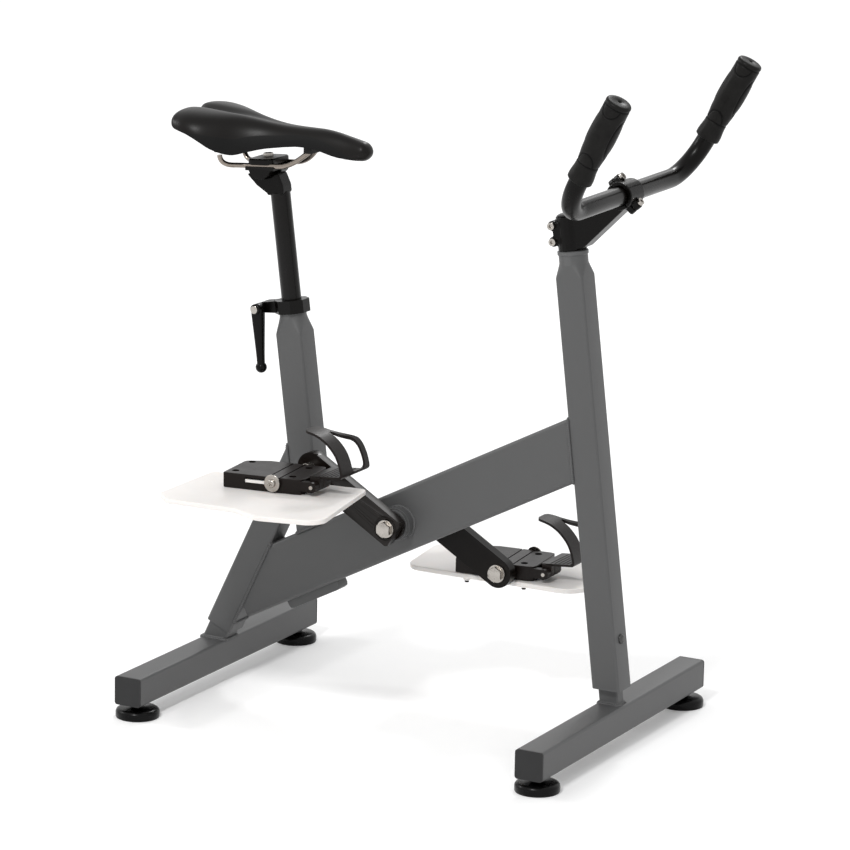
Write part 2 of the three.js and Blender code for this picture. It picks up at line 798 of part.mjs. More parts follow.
// Pedal axle: its hex end sits on the inner face of the crank arm and its collar on the outer face
function pedalAxle(name, side, arm) {
  const inner = crankOuterFace + fitGap;
  const end = axleEnd(side);
  const blockFace = side < 0 ? -rightBlockOffset - blockLeftEdge : leftBlockOffset + blockRightEdge;
  const collar = blockFace - yawRoom - inner;
  const rod = at(rodY(axleRadius, end - inner, boreSides), 0, (side * (inner + end)) / 2, 0);
  const flange = at(rodY(axleFlangeRadius, collar, boreSides), 0, side * (inner + collar / 2), 0);
  const hexEnd = hexBolt(side * (crankInnerFace - fitGap), -side, crankThickness + collar);
  const thread = at(rodY(endScrewRadius + fitGap, 2 * endScrewReach), 0, side * end, 0);
  const axle = cut(join(rod, flange, hexEnd), thread);
  arm.add(part(name, at(axle, crankLength, 0, 0), stainless));
}

function axleEndScrew(name, side, arm) {
  const seat = axleEnd(side) + fitGap;
  const washer = at(rodY(endWasherRadius, washerThickness, boreSides), 0, side * (seat + washerThickness / 2), 0);
  const headLength = endScrewHead + edgeRound;
  const head = at(rodY(endScrewHeadRadius, headLength), 0, side * (seat + washerThickness + endScrewHead / 2), 0);
  const shank = at(rodY(endScrewRadius, endScrewReach + edgeRound), 0, side * (seat - endScrewReach / 2 + edgeRound), 0);
  arm.add(part(name, at(join(washer, head, shank), crankLength, 0, 0), stainless));
}

// Pedal: block on the axle, foot plate under it, toe cage hinged at its front
const boltRows = [rearBoltRow, frontBoltRow];
const boltColumns = [rightBoltColumn, leftBoltColumn];
const boltPlaces = boltRows.flatMap((x) => boltColumns.map((y) => [x, y]));
const plateTop = -blockBelowAxle - fitGap;

// Hinge knuckles along the pin: the block's lugs at both ends and the cage's lugs beside them
const lugPitch = knuckleWidth + 2 * fitGap;
const firstLug = firstKnuckle + knuckleWidth / 2;
const lastLug = firstLug + 3 * lugPitch;
const blockLugs = [firstLug, lastLug];
const cageLugs = [firstLug + lugPitch, lastLug - lugPitch];

function knuckle(y) {
  return at(rodY(knuckleRadius, knuckleWidth, boltSides), hingeForward, y, -hingeBelowAxle);
}

function pedalBlock(name, pedal, cage, block) {
  const outline = roundedOutline([
    [blockRear, blockRightEdge, edgeRound * 2],
    [blockFront, blockRightEdge, blockCorner + 2 * edgeRound],
    [blockFront, blockLeftEdge, blockCorner],
    [blockRear + blockCornerCutLength, blockLeftEdge, blockCorner],
    [blockRear, blockLeftEdge - blockCornerCut, blockCorner],
  ]);
  const height = blockAboveAxle + blockBelowAxle;
  const body = at(slab(outline, height, edgeRound / 2), 0, 0, -blockBelowAxle);
  const lugs = blockLugs.flatMap((y) => {
    const length = hingeForward - blockFront + blockCorner + edgeRound;
    const web = box(length, knuckleWidth, 2 * knuckleRadius - edgeRound);
    const lug = join(knuckle(y), at(web, hingeForward - length / 2, y, -hingeBelowAxle));
    return [carried(lug, cage, block)];
  });
  const cageLugRooms = cageLugs.map((y) =>
    carried(at(rodY(knuckleRadius + 2 * fitGap, lugPitch, boltSides), hingeForward, y, -hingeBelowAxle), cage, block));
  const grooves = [rearGroove, frontGroove].map((x) =>
    at(box(grooveWidth, cutReach, 2 * grooveDepth), x, 0, blockAboveAxle));
  const holes = boltPlaces.flatMap(([x, y]) => [
    at(rodZ(pedalBoltRadius + fitGap, 2 * height, holeSides), x, y, -height / 2),
    at(rodZ(pedalBoltHeadRadius + fitGap, 2 * pedalBoltSink, boltSides), x, y, blockAboveAxle),
  ]);
  const axleBore = carried(rodY(axleRadius + fitGap, cutReach, boreSides), pedal, block);
  const pinBores = blockLugs.map((y) =>
    carried(at(rodY(hingePinRadius + fitGap, 2 * knuckleWidth), hingeForward, y, -hingeBelowAxle), cage, block));
  const slot = at(box(slotFront - slotRear, 2 * slotDepth, slotHeight), (slotFront + slotRear) / 2, blockRightEdge, 0);
  const tools = [...grooves, ...holes, axleBore, ...pinBores, ...cageLugRooms, slot];
  block.add(part(name, cut(join(body, ...lugs), ...tools), blackPlastic));
}

function slotSlide(name, block) {
  const length = slotFront - slotRear - 2 * fitGap;
  const depth = slotDepth - 2 * fitGap;
  const low = -slotHeight / 2 + fitGap + slideHeight / 2;
  const y = blockRightEdge + fitGap + depth / 2;
  block.add(part(name, at(box(length, depth, slideHeight), (slotFront + slotRear) / 2, y, low), whitePlastic));
}

function rightPlateOutline() {
  return roundedOutline([
    [-plateRear, -plateInnerRear, plateInnerRadius],
    [-plateRear, -plateOuterRear + plateRearCut, plateInnerRadius],
    [plateRearCut - plateRear, -plateOuterRear, plateInnerRadius],
    [plateStepRear, -plateOuterRear, plateCornerRadius],
    [plateStepFront, -plateOuterFront, plateCornerRadius],
    [plateFrontCorner, -plateOuterFront + plateNoseCut, plateCornerRadius],
    [plateFront, -plateOuterFront + plateFrontCut, plateCornerRadius],
    [plateInnerNose, -plateInnerFront, plateInnerRadius],
  ]);
}

function leftPlateOutline() {
  return roundedOutline([
    [-leftPlateRearInner, leftPlateInner, plateCornerRadius],
    [leftPlateFrontInner, leftPlateInner, leftPlateFrontRadius],
    [leftPlateFrontOuter, leftPlateOuter, plateCornerRadius],
    [-leftPlateRearOuter, leftPlateOuter, plateCornerRadius],
  ]);
}

function footPlate(name, side, pedal, block) {
  const outline = side < 0 ? rightPlateOutline() : leftPlateOutline();
  const plate = at(slab(outline, plateThickness, edgeRound, cornerSteps + 1), 0, 0, plateTop - plateThickness);
  const holes = boltPlaces.map(([x, y]) =>
    carried(at(rodZ(pedalBoltRadius + fitGap, 4 * plateThickness, holeSides), x, y, plateTop), block, pedal));
  pedal.add(part(name, cut(plate, ...holes), whitePlastic));
}

function hingePin(name, cage) {
  const start = firstKnuckle - hingePinOverhang;
  const end = lastLug + knuckleWidth / 2 + hingePinOverhang;
  const pin = at(rodY(hingePinRadius, end - start), hingeForward, (end + start) / 2, -hingeBelowAxle);
  cage.add(part(name, pin, stainless));
}

// The bent strap of the toe cage: shares of its reach and of its height, from the base's front end to the tongue
const strapShares = [
  [0.998, 0.125], [0.985, 0.25], [0.955, 0.39], [0.905, 0.54], [0.84, 0.66], [0.765, 0.765], [0.69, 0.84],
  [0.61, 0.9], [0.5, 0.95], [0.35, 0.985],
];
// Its outline seen from above: shares of its reach forward, and of its width from the right edge to the left one
const leftEdgeShares = [
  [1.1, 1], [0.86, 1], [0.8, 0.93], [0.755, 0.8], [0.7, 0.66], [0.64, 0.55], [0.57, 0.48], [0.46, 0.44],
];
const slotShares = [[1.1, 0.85], [0.86, 0.85], [0.795, 0.79], [0.76, 0.68], [0.72, 0.57], [0.68, 0.5], [0.62, 0.44]];
const slotRightShare = 0.38;

function planPoint([forward, across]) {
  return new THREE.Vector2(forward * cageReach, THREE.MathUtils.lerp(cageRightEdge, cageLeftEdge, across));
}

function toeCage(name, cage) {
  const top = blockAboveAxle;
  const strap = strapShares.map(([x, z]) => new THREE.Vector2(x * cageReach, top + z * cageHeight));
  const baseEnd = new THREE.Vector2(cageBaseEnd, top + cageBaseRise);
  const line = [new THREE.Vector2(cageBaseStart, top + fitGap), baseEnd, ...strap];
  const normals = line.map((point, place) => {
    const before = line[Math.max(place - 1, 0)];
    const after = line[Math.min(place + 1, line.length - 1)];
    const along = after.clone().sub(before).normalize();
    return new THREE.Vector2(-along.y, along.x);
  });
  const inner = line.map((point, place) => point.clone().addScaledVector(normals[place], cageThickness));
  const profile = new THREE.Shape([...line, ...inner.reverse()]);
  const width = cageLeftEdge - cageRightEdge;
  const whole = at(upright(profile, width), 0, (cageLeftEdge + cageRightEdge) / 2, 0);
  const tip = tongueEnd;
  const plan = new THREE.Shape([
    new THREE.Vector2(tip, cageRightEdge + cageSlotRadius),
    new THREE.Vector2(tip + cageSlotRadius, cageRightEdge),
    planPoint([leftEdgeShares[0][0], 0]),
    ...leftEdgeShares.map(planPoint),
    new THREE.Vector2(tip, planPoint(leftEdgeShares[leftEdgeShares.length - 1]).y - cageSlotRadius),
  ]);
  const upper = at(slab(plan, cutReach), 0, 0, top + cageHeight / 2);
  const lower = at(box(cutReach, cutReach, cutReach), 0, 0, top + cageHeight / 2 - cutReach / 2);
  const slot = new THREE.Shape([
    planPoint([slotShares[0][0], slotRightShare]),
    ...slotShares.map(planPoint),
    planPoint([slotShares[slotShares.length - 1][0], slotRightShare]),
  ]);
  const slotTop = at(slab(slot, cutReach), 0, 0, top + cageHeight / 2);
  const slotLow = top + cageBaseRise + cageThickness + edgeRound;
  const frontWidth = planPoint(slotShares[0]).y - planPoint([0, slotRightShare]).y;
  const frontSlot = roundedOutline([
    [slotLow, -frontWidth / 2, cageSlotRadius],
    [top + cageHeight / 2 + fitGap, -frontWidth / 2, 0],
    [top + cageHeight / 2 + fitGap, frontWidth / 2, 0],
    [slotLow, frontWidth / 2, cageSlotRadius],
  ]);
  const frontMiddle = planPoint([0, slotRightShare]).y + frontWidth / 2;
  const slotFront = at(slab(frontSlot, cageReach, 0, cornerSteps + 1).rotateY(-Math.PI / 2), 1.5 * cageReach, frontMiddle, 0);
  const baseCutDepth = cageLeftEdge - cageBaseLeftEdge;
  const baseCutLength = cageBaseEnd - cageBaseStart;
  const baseCut = at(box(baseCutLength, 2 * baseCutDepth, 2 * cageThickness + 2 * cageBaseRise),
    cageBaseStart - 2 * edgeRound + baseCutLength / 2, cageLeftEdge, top + cageBaseRise);
  const strapBody = cut(common(whole, join(upper, lower)), baseCut, slotTop, slotFront);
  const webHeight = knuckleRadius + hingeBelowAxle + top / 2;
  const lugs = cageLugs.flatMap((y) => [
    knuckle(y),
    at(box(2 * knuckleRadius, knuckleWidth, webHeight), hingeForward, y, top + cageThickness - webHeight / 2),
  ]);
  const pinBores = cageLugs.map((y) =>
    at(rodY(hingePinRadius + fitGap, 2 * knuckleWidth), hingeForward, y, -hingeBelowAxle));
  cage.add(part(name, cut(join(strapBody, ...lugs), ...pinBores), blackPlastic));
}

function pedalSide(label, side, arm) {
  const centre = new THREE.Vector3(crankLength, 0, 0);
  arm.updateWorldMatrix(true, false);
  centre.applyMatrix4(arm.matrixWorld);
  const pedal = frameAt(bike, centre.x, 0, centre.z, side < 0 ? -rightPedalPitch : -leftPedalPitch);
  const block = new THREE.Group();
  block.position.set(0, side < 0 ? rightBlockOffset : leftBlockOffset, 0);
  block.rotation.z = radians(blockYaw);
  pedal.add(block);
  const cage = frameAt(pedal, 0, block.position.y, 0, 0);
  pedalBlock(`pedal_block_${label}`, pedal, cage, block);
  slotSlide(`pedal_slide_${label}`, block);
  footPlate(`foot_plate_${label}`, side, pedal, block);
  hingePin(`cage_hinge_pin_${label}`, cage);
  toeCage(`toe_cage_${label}`, cage);
}

function crankSet() {
  const arms = [-1, 1].map((side) => crankArm(side < 0 ? "crank_arm_right" : "crank_arm_left", side, crankFrame));
  crankSpindle(crankFrame);
  ["right", "left"].forEach((label, place) => {
    const side = 2 * place - 1;
    hubBolt(`crank_hub_bolt_${label}`, side, arms[place]);
    pedalAxle(`pedal_axle_${label}`, side, arms[place]);
    axleEndScrew(`axle_end_screw_${label}`, side, arms[place]);
    pedalSide(label, side, arms[place]);
  });
}

// Seat collar: eight-sided band round the neck, with two ears behind and a slit between them
const collarTop = seatTubeTop + fitGap + collarLip;
const collarMiddle = collarTop - collarHeight / 2;

function seatCollar() {
  const band = rodZ(collarAcrossFlats / 2 / Math.cos(Math.PI / 8), collarHeight, 8).rotateZ(Math.PI / 8);
  const ears = upright(roundedOutline([
    [-earReach - earRadius, -earRadius, earRadius],
    [0, -collarHeight / 2, edgeRound],
    [0, collarHeight / 2, edgeRound],
    [-earReach - earRadius, earRadius, earRadius],
  ]), 2 * earOuter, edgeRound / 2);
  const neckBore = at(rodZ(seatNeckRadius + fitGap, collarHeight, tubeSides), 0, 0, -collarLip);
  const postBore = rodZ(postRadius + postClearance, 2 * collarHeight, tubeSides);
  const slit = at(box(2 * earReach, earSlit, 2 * collarHeight), -earReach, 0, 0);
  const screwHole = at(rodY(collarScrewRadius + fitGap, 4 * earOuter), -earReach, 0, 0);
  const collar = at(cut(join(band, ears), neckBore, postBore, slit, screwHole), 0, 0, collarMiddle);
  seatFrame.add(part("seat_collar", collar, glossBlack));
}

function collarScrew() {
  const headY = -leverHubOuter - fitGap - collarScrewHead;
  const nutY = earOuter + fitGap;
  const length = nutY + collarNutHeight - headY;
  const shank = at(rodY(collarScrewRadius, length), 0, headY + length / 2, 0);
  const head = at(rodY(collarScrewHeadRadius, collarScrewHead), 0, headY + collarScrewHead / 2, 0);
  const nut = at(hexY(collarNutSize, collarNutHeight), 0, nutY + collarNutHeight / 2, 0);
  seatFrame.add(part("collar_screw", at(join(shank, head, nut), -earReach, 0, collarMiddle), stainless));
}

function clampLever() {
  const hubInner = earOuter + fitGap;
  const hubLength = leverHubOuter - hubInner;
  const middle = -(leverHubOuter + hubInner) / 2;
  const section = (width, depth, drop, sweep) => {
    const ring = squareRing(1, 0.42, 0);
    return ring.map((point) => new THREE.Vector3(point.x * width + sweep, middle + point.y * depth, -drop));
  };
  const steps = [0, 0.25, 0.55, 1];
  const arm = loft(steps.map((share) => section(
    THREE.MathUtils.lerp(leverRootWidth, leverTipWidth, Math.sqrt(share)),
    THREE.MathUtils.lerp(leverRootDepth, leverTipDepth, share), leverLength * share, 0)).reverse());
  const ball = at(new THREE.SphereGeometry(leverBallRadius, boltSides, boltSides / 2), 0, middle, -leverLength);
  const hub = at(rodY(leverHubRadius, hubLength, tubeSides), 0, middle, 0);
  const hole = rodY(collarScrewRadius + fitGap, 4 * leverHubOuter);
  const lever = frameAt(seatFrame, -earReach, 0, collarMiddle, seatTubeLean - leverLean);
  lever.add(part("clamp_lever", cut(join(hub, arm, ball), hole), glossBlack));
}

// Seat post with its set-back head: corners of the head forward of the tube's axis and above the tube
const headCorners = [
  [postRadius - 2, -postWall], [postRadius - 2, 10], [6, 27], [-43, 29], [-39, 24], [-29, 12], [-postRadius, 0], [-postRadius, -postWall],
];

function seatPost() {
  const length = postTop - postBottom;
  const tube = at(rodZ(postRadius, length, tubeSides), 0, 0, postBottom + length / 2);
  const hollow = at(rodZ(postRadius - postWall, length, tubeSides), 0, 0, postBottom + length / 2 - 2 * postRadius);
  const head = upright(roundedOutline(headCorners.map(([x, z]) => [x, postTop + z, 2 * edgeRound])),
    2 * headHalfWidth, edgeRound / 2);
  const seat = at(rodY(cradleRadius + fitGap, 4 * headHalfWidth, tubeSides), -headSetback, 0, tiltAxisRise);
  seatFrame.add(part("seat_post", cut(join(cut(tube, hollow), head), seat), glossBlack));
}

function railGrooves() {
  return [-1, 1].map((side) => at(rodX(railRadius + fitGap, 2 * cradleLength, boltSides), 0, side * railSpread, 0));
}

function saddleClamp(clamp) {
  const above = beyond("z", -edgeRound / 2, 1);
  const boltHole = rodZ(clampBoltRadius + fitGap, 4 * cradleRadius);
  const saddleSeat = box(cradleLength, 2 * clampHalfWidth, cradleThickness);
  const rocker = join(rodY(cradleRadius, 2 * clampHalfWidth, tubeSides), at(saddleSeat, 0, 0, -cradleThickness / 2));
  const cradle = cut(rocker, above, ...railGrooves(), boltHole);
  clamp.add(part("clamp_cradle", cradle, glossBlack));
  const outline = roundedRectangle(clampPlateLength, 2 * clampHalfWidth, clampPlateHeight);
  const plate = at(slab(outline, clampPlateHeight, edgeRound), 0, 0, edgeRound / 2);
  clamp.add(part("clamp_plate", cut(plate, ...railGrooves(), boltHole), glossBlack));
  const headLow = edgeRound / 2 + clampPlateHeight + fitGap;
  const tail = -cradleRadius * 0.75;
  const shank = at(rodZ(clampBoltRadius, headLow + edgeRound - tail), 0, 0, (headLow + edgeRound + tail) / 2);
  const head = at(hexZ(clampBoltHexSize, clampBoltHexHeight), 0, 0, headLow + clampBoltHexHeight / 2);
  clamp.add(part("clamp_bolt", join(shank, head), stainless));
}

// Saddle: sections across the bike, each given as shares along the length
const widthShares = [
  [0, 0.72], [0.02, 0.86], [0.055, 0.95], [0.11, 1.0], [0.18, 0.975], [0.25, 0.86], [0.325, 0.67], [0.395, 0.51],
  [0.465, 0.4], [0.54, 0.335], [0.61, 0.295], [0.715, 0.267], [0.82, 0.253], [0.91, 0.227], [0.965, 0.16], [1, 0.05],
];
const crownShares = [
  [0, 0.83], [0.02, 0.94], [0.055, 1.0], [0.11, 1.005], [0.18, 0.985], [0.25, 0.963], [0.325, 0.94], [0.395, 0.905],
  [0.465, 0.865], [0.54, 0.83], [0.61, 0.811], [0.68, 0.80], [0.75, 0.785], [0.82, 0.745], [0.89, 0.66],
  [0.945, 0.555], [0.98, 0.435], [1, 0.36],
];
const skirtShares = [
  [0, 0.74], [0.03, 0.63], [0.075, 0.62], [0.13, 0.6], [0.18, 0.51], [0.25, 0.3], [0.325, 0.21], [0.395, 0.276],
  [0.465, 0.346], [0.54, 0.394], [0.61, 0.435], [0.715, 0.437], [0.82, 0.36], [0.91, 0.324], [1, 0.32],
];
const channelShares = [[0, 1], [0.2, 0.8], [0.35, 0.5], [0.5, 0.35], [0.7, 0.1], [0.8, 0], [1, 0]];
const squarenessPlaces = [[0, 5], [0.2, 4.5], [0.4, 2.6], [1, 2.3]];
const acrossShares = [-1, -0.985, -0.92, -0.8, -0.62, -0.42, -0.22, -0.1, 0, 0.1, 0.22, 0.42, 0.62, 0.8, 0.92, 0.985, 1];
const underShares = [0.8, 0.45, 0, -0.45, -0.8];
const hollowShare = 0.3;
const domeShare = 0.55;
const panStartStation = 2;
const panEndStation = 18;

function sectionAt(share) {
  const halfWidth = saddleHalfWidth * between(widthShares, share);
  const crown = saddleRise * between(crownShares, share);
  const skirt = saddleRise * between(skirtShares, share);
  const channel = channelDepth * between(channelShares, share);
  const squareness = between(squarenessPlaces, share);
  const x = saddleLength * share - saddleTail;
  const topAt = (across) => {
    const dome = Math.pow(Math.max(1 - Math.pow(Math.abs(across), squareness), 0), domeShare);
    const dip = channel * Math.exp(-Math.pow((across * halfWidth) / channelHalfWidth, 2));
    return skirt + (crown - skirt) * dome - dip;
  };
  const underAt = (across) => skirt + hollowShare * (crown - skirt) * (1 - across * across);
  return { x, halfWidth, topAt, underAt };
}

function shellPan(thickness) {
  const count = panEndStation - panStartStation + 1;
  const rings = Array.from({ length: count }, (_, place) => {
    const { x, halfWidth, underAt } = sectionAt(stationShare(panStartStation + place));
    const panPoint = (across, drop) => new THREE.Vector3(x, across * halfWidth, underAt(across) - panGap - drop);
    const top = underShares.map((across) => panPoint(across, 0));
    const under = [...underShares].reverse().map((across) => panPoint(across, thickness));
    return [...top, ...under];
  });
  return loft(rings);
}

// Stations crowd together a little at both ends of the saddle
function stationShare(station) {
  const even = station / saddleStations;
  return endCrowding * (0.5 - 0.5 * Math.cos(Math.PI * even)) + (1 - endCrowding) * even;
}

function saddleCushion(saddle) {
  const rings = Array.from({ length: saddleStations + 1 }, (_, station) => {
    const { x, halfWidth, topAt, underAt } = sectionAt(stationShare(station));
    const top = acrossShares.map((across) => new THREE.Vector3(x, -across * halfWidth, topAt(across)));
    const under = underShares.map((across) => new THREE.Vector3(x, -across * halfWidth, underAt(across)));
    return [...top, ...under];
  });
  const notchEnd = -saddleTail + notchDepth;
  const notch = slab(roundedOutline([
    [notchEnd, 0, edgeRound],
    [-saddleTail - notchDepth, 2 * notchHalfWidth, edgeRound],
    [-saddleTail - notchDepth, -2 * notchHalfWidth, edgeRound],
  ]), 4 * saddleRise);
  saddle.add(part("saddle_cushion", cut(loft(rings), notch), cover));
}

function saddleShell(saddle, clamp) {
  const block = (x, y, low, shellShareAt) => {
    const top = sectionAt(shellShareAt).underAt(0) - panGap - shellThickness / 2;
    return at(box(socketSide, socketSide, top - low), x, y, (top + low) / 2);
  };
  const rearShare = (saddleTail - railRearEnd) / saddleLength;
  const frontShare = (saddleTail + railFrontEnd) / saddleLength;
  const rearLow = railRearRise;
  const sockets = [-1, 1].map((side) => block(-railRearEnd, side * railRearSpread, rearLow, rearShare));
  const noseLow = railFrontRise + railRadius;
  const noseTop = sectionAt(frontShare).underAt(0) - panGap - shellThickness / 2;
  const nose = at(box(socketSide, 2 * railFrontSpread + socketSide, noseTop - noseLow),
    railFrontEnd, 0, (noseTop + noseLow) / 2);
  const underPan = common(join(...sockets, nose), shellPan(saddleRise));
  const railChannel = carried(rodAlong(railPath(), railRadius + fitGap, railSides), clamp, saddle);
  saddle.add(part("saddle_shell", cut(join(shellPan(shellThickness), underPan), railChannel), blackPlastic));
}

// One rail: bent up behind to the rear socket, straight through the clamp, drawn in and up to the nose
function railPoints(side) {
  const rear = new THREE.QuadraticBezierCurve3(
    new THREE.Vector3(-railRearEnd, side * railRearSpread, railRearRise),
    new THREE.Vector3(-railRearEnd, side * railRearSpread, 0),
    new THREE.Vector3(-railStraightRear, side * railSpread, 0));
  const front = new THREE.QuadraticBezierCurve3(
    new THREE.Vector3(railStraightFront, side * railSpread, 0),
    new THREE.Vector3(railStraightFront + railFrontRise, side * railSpread, 0),
    new THREE.Vector3(railFrontEnd, side * railFrontSpread, railFrontRise));
  return [...rear.getPoints(railBendSteps), ...front.getPoints(railBendSteps)];
}

function railPath() {
  const nose = [-1, 1].map((side) =>
    new THREE.Vector3(railFrontEnd + railRadius, (side * railFrontSpread) / 2, railFrontRise + railRadius / 2));
  return [...railPoints(-1), ...nose, ...railPoints(1).reverse()];
}

function saddleRails(saddle) {
  saddle.add(part("saddle_rails", rodAlong(railPath(), railRadius, railSides), stainless));
}

// Steerer, stem, face plate
const clampRadius = steererRadius + stemWall;
const barClampRadius = barRadius + barClampWall;

function steerer() {
  const low = columnTop - steererInsert;
  const high = columnTop + stemHeight - edgeRound;
  const tube = cut(rodZ(steererRadius, high - low, tubeSides), rodZ(steererRadius - steererWall, 2 * high, tubeSides));
  columnFrame.add(part("steerer_tube", at(tube, 0, 0, (low + high) / 2), glossBlack));
}

function steererCap(stem) {
  const cap = new THREE.LatheGeometry([
    new THREE.Vector2(0, 0),
    new THREE.Vector2(clampRadius - edgeRound, 0),
    new THREE.Vector2(clampRadius - edgeRound, steererCapHeight / 3),
    new THREE.Vector2(clampRadius * 0.7, steererCapHeight),
    new THREE.Vector2(0, steererCapHeight),
  ], tubeSides).rotateX(Math.PI / 2);
  stem.add(part("steerer_cap", at(cap, 0, 0, stemHeight + fitGap), glossBlack));
}

// Face plate frame: at the bar's axis, with local X square to the split
function barClampBody(frontHalf) {
  const barrel = rodY(barClampRadius, 2 * barClampHalfWidth, tubeSides);
  const bosses = [-1, 1].map((side) => {
    const boss = rodX(faceBossRadius, 2 * faceBossHeight, boltSides);
    return at(boss, 0, 0, side * faceBoltSpread);
  });
  const webs = box(2 * faceBossHeight, 2 * faceBossRadius, 2 * faceBoltSpread);
  const keepSide = frontHalf ? -1 : 1;
  const split = beyond("x", frontHalf ? faceSplit / 2 : -faceSplit / 2, keepSide);
  const boltHoles = [-1, 1].map((side) =>
    at(rodX(smallBoltRadius + fitGap, 4 * faceBossHeight), 0, 0, side * faceBoltSpread));
  const headSeats = [-1, 1].map((side) =>
    at(rodX(smallBoltHeadRadius + fitGap, 2 * faceBossHeight), 2 * faceBossHeight, 0, side * faceBoltSpread));
  const barBore = rodY(barRadius + fitGap, cutReach, tubeSides);
  return { solid: join(barrel, ...bosses, webs), tools: [split, barBore, ...boltHoles, ...headSeats] };
}

function stemBody(stem, face) {
  const sleeve = at(rodZ(clampRadius, stemHeight, tubeSides), 0, 0, stemHeight / 2);
  const bosses = [pinchBoltLow, pinchBoltHigh].map((z) =>
    at(rodY(pinchBossRadius, 2 * pinchBossHalfWidth), -pinchBoltSetback, 0, z));
  const bridge = at(box(pinchBoltSetback, 2 * pinchBossHalfWidth, pinchBoltHigh - pinchBoltLow + pinchBossRadius),
    -pinchBoltSetback / 2, 0, (pinchBoltHigh + pinchBoltLow) / 2);
  const reach = new THREE.Vector2(barForward, barRise);
  const across = new THREE.Vector2(-Math.sin(radians(faceTilt)), Math.cos(radians(faceTilt)));
  const low = reach.clone().addScaledVector(across, -faceBoltSpread * 0.8);
  const high = reach.clone().addScaledVector(across, faceBoltSpread * 0.8);
  const outline = roundedOutline([
    [0, edgeRound, 2 * edgeRound],
    [clampRadius + 2 * edgeRound, 2 * edgeRound, pinchBossRadius],
    [low.x, low.y, 2 * edgeRound],
    [high.x, high.y, 2 * edgeRound],
    [clampRadius * 0.8, stemHeight - edgeRound, pinchBossRadius],
    [0, stemHeight - edgeRound, 2 * edgeRound],
  ]);
  const extension = upright(outline, 2 * extensionHalfWidth, edgeRound / 2);
  const clamp = barClampBody(false);
  const solid = join(sleeve, ...bosses, bridge, extension, carried(clamp.solid, face, stem));
  const tools = clamp.tools.map((tool) => carried(tool, face, stem));
  const steererBore = rodZ(steererRadius + fitGap, 4 * stemHeight, tubeSides);
  const slit = at(box(2 * pinchBoltSetback, stemSlit, 4 * stemHeight), -pinchBoltSetback, 0, 0);
  const pinchHoles = [pinchBoltLow, pinchBoltHigh].map((z) =>
    at(rodY(smallBoltRadius + fitGap, 4 * pinchBossHalfWidth), -pinchBoltSetback, 0, z));
  stem.add(part("stem", cut(solid, ...tools, steererBore, slit, ...pinchHoles), glossBlack));
}

function facePlate(face) {
  const clamp = barClampBody(true);
  face.add(part("stem_face_plate", cut(clamp.solid, ...clamp.tools), glossBlack));
}

function capBolt(length) {
  const head = at(rodX(smallBoltHeadRadius, smallBoltHead), smallBoltHead / 2, 0, 0);
  return join(head, at(rodX(smallBoltRadius, length), edgeRound - length / 2, 0, 0));
}

function stemBolts(stem, face) {
  ["lower", "upper"].forEach((label, place) => {
    const side = 2 * place - 1;
    const faceBolt = at(capBolt(2 * faceBossHeight), faceBossHeight + fitGap, 0, side * faceBoltSpread);
    face.add(part(`face_plate_bolt_${label}`, faceBolt, stainless));
    const pinchBolt = capBolt(2 * pinchBossHalfWidth).rotateZ(-Math.PI / 2);
    const height = place === 0 ? pinchBoltLow : pinchBoltHigh;
    stem.add(part(`pinch_bolt_${label}`, at(pinchBolt, -pinchBoltSetback, -pinchBossHalfWidth - fitGap, height), stainless));
  });
}

// Handlebar: straight through the clamp, then a bend up into each arm
function armEnds(side) {
  const corner = new THREE.Vector3(0, side * barCornerSpread, 0);
  const top = new THREE.Vector3(gripTopForward, side * gripTopSpread, gripTopRise);
  return { corner, top, along: top.clone().sub(corner).normalize() };
}

function barPoints(end) {
  const bendPoints = (side) => {
    const { corner, top, along } = armEnds(side);
    const acrossBar = new THREE.Vector3(0, -side, 0);
    const turn = Math.PI - acrossBar.angleTo(along);
    const tangentLength = barBendRadius * Math.tan(turn / 2);
    const start = corner.clone().addScaledVector(acrossBar, tangentLength);
    const inward = along.clone().addScaledVector(acrossBar, -along.dot(acrossBar)).normalize();
    const centre = start.clone().addScaledVector(inward, barBendRadius);
    const arc = Array.from({ length: bendSteps + 1 }, (_, step) => {
      const angle = (turn * step) / bendSteps;
      return centre.clone().addScaledVector(inward, -barBendRadius * Math.cos(angle))
        .addScaledVector(acrossBar, -barBendRadius * Math.sin(angle));
    });
    return [...arc, top.clone().addScaledVector(along, end)];
  };
  return [...bendPoints(-1).reverse(), ...bendPoints(1)];
}

function handlebar(bars) {
  const outer = rodAlong(barPoints(-gripEndWall - fitGap), barRadius, boltSides);
  const inner = rodAlong(barPoints(cutOverrun), barRadius - barWall, boltSides);
  bars.add(part("handlebar", cut(outer, inner), glossBlack));
}

function grip(name, side, bars) {
  const { top, along } = armEnds(side);
  const inner = barRadius + fitGap;
  const profile = [
    [inner, 0], [gripFlangeRadius, 0], [gripFlangeRadius, gripLength * 0.06], [gripWaistRadius, gripLength * 0.16],
    [gripWaistRadius, gripLength * 0.24], [(gripWaistRadius + gripBulgeRadius) / 2, gripLength * 0.36],
    [gripBulgeRadius, gripLength * 0.52], [gripBulgeRadius, gripLength * 0.66], [gripTopRadius, gripLength * 0.85],
    [gripTopRadius, gripLength - edgeRound], [gripTopRadius - edgeRound, gripLength], [gripEndHole, gripLength],
    [gripEndHole, gripLength - gripEndWall], [inner, gripLength - gripEndWall], [inner, 0],
  ].map(([radius, height]) => new THREE.Vector2(radius, height));
  const mesh = part(name, new THREE.LatheGeometry(profile, latheSides), rubber);
  mesh.position.copy(top).addScaledVector(along, -gripLength);
  mesh.quaternion.setFromUnitVectors(new THREE.Vector3(0, 1, 0), along);
  bars.add(mesh);
}

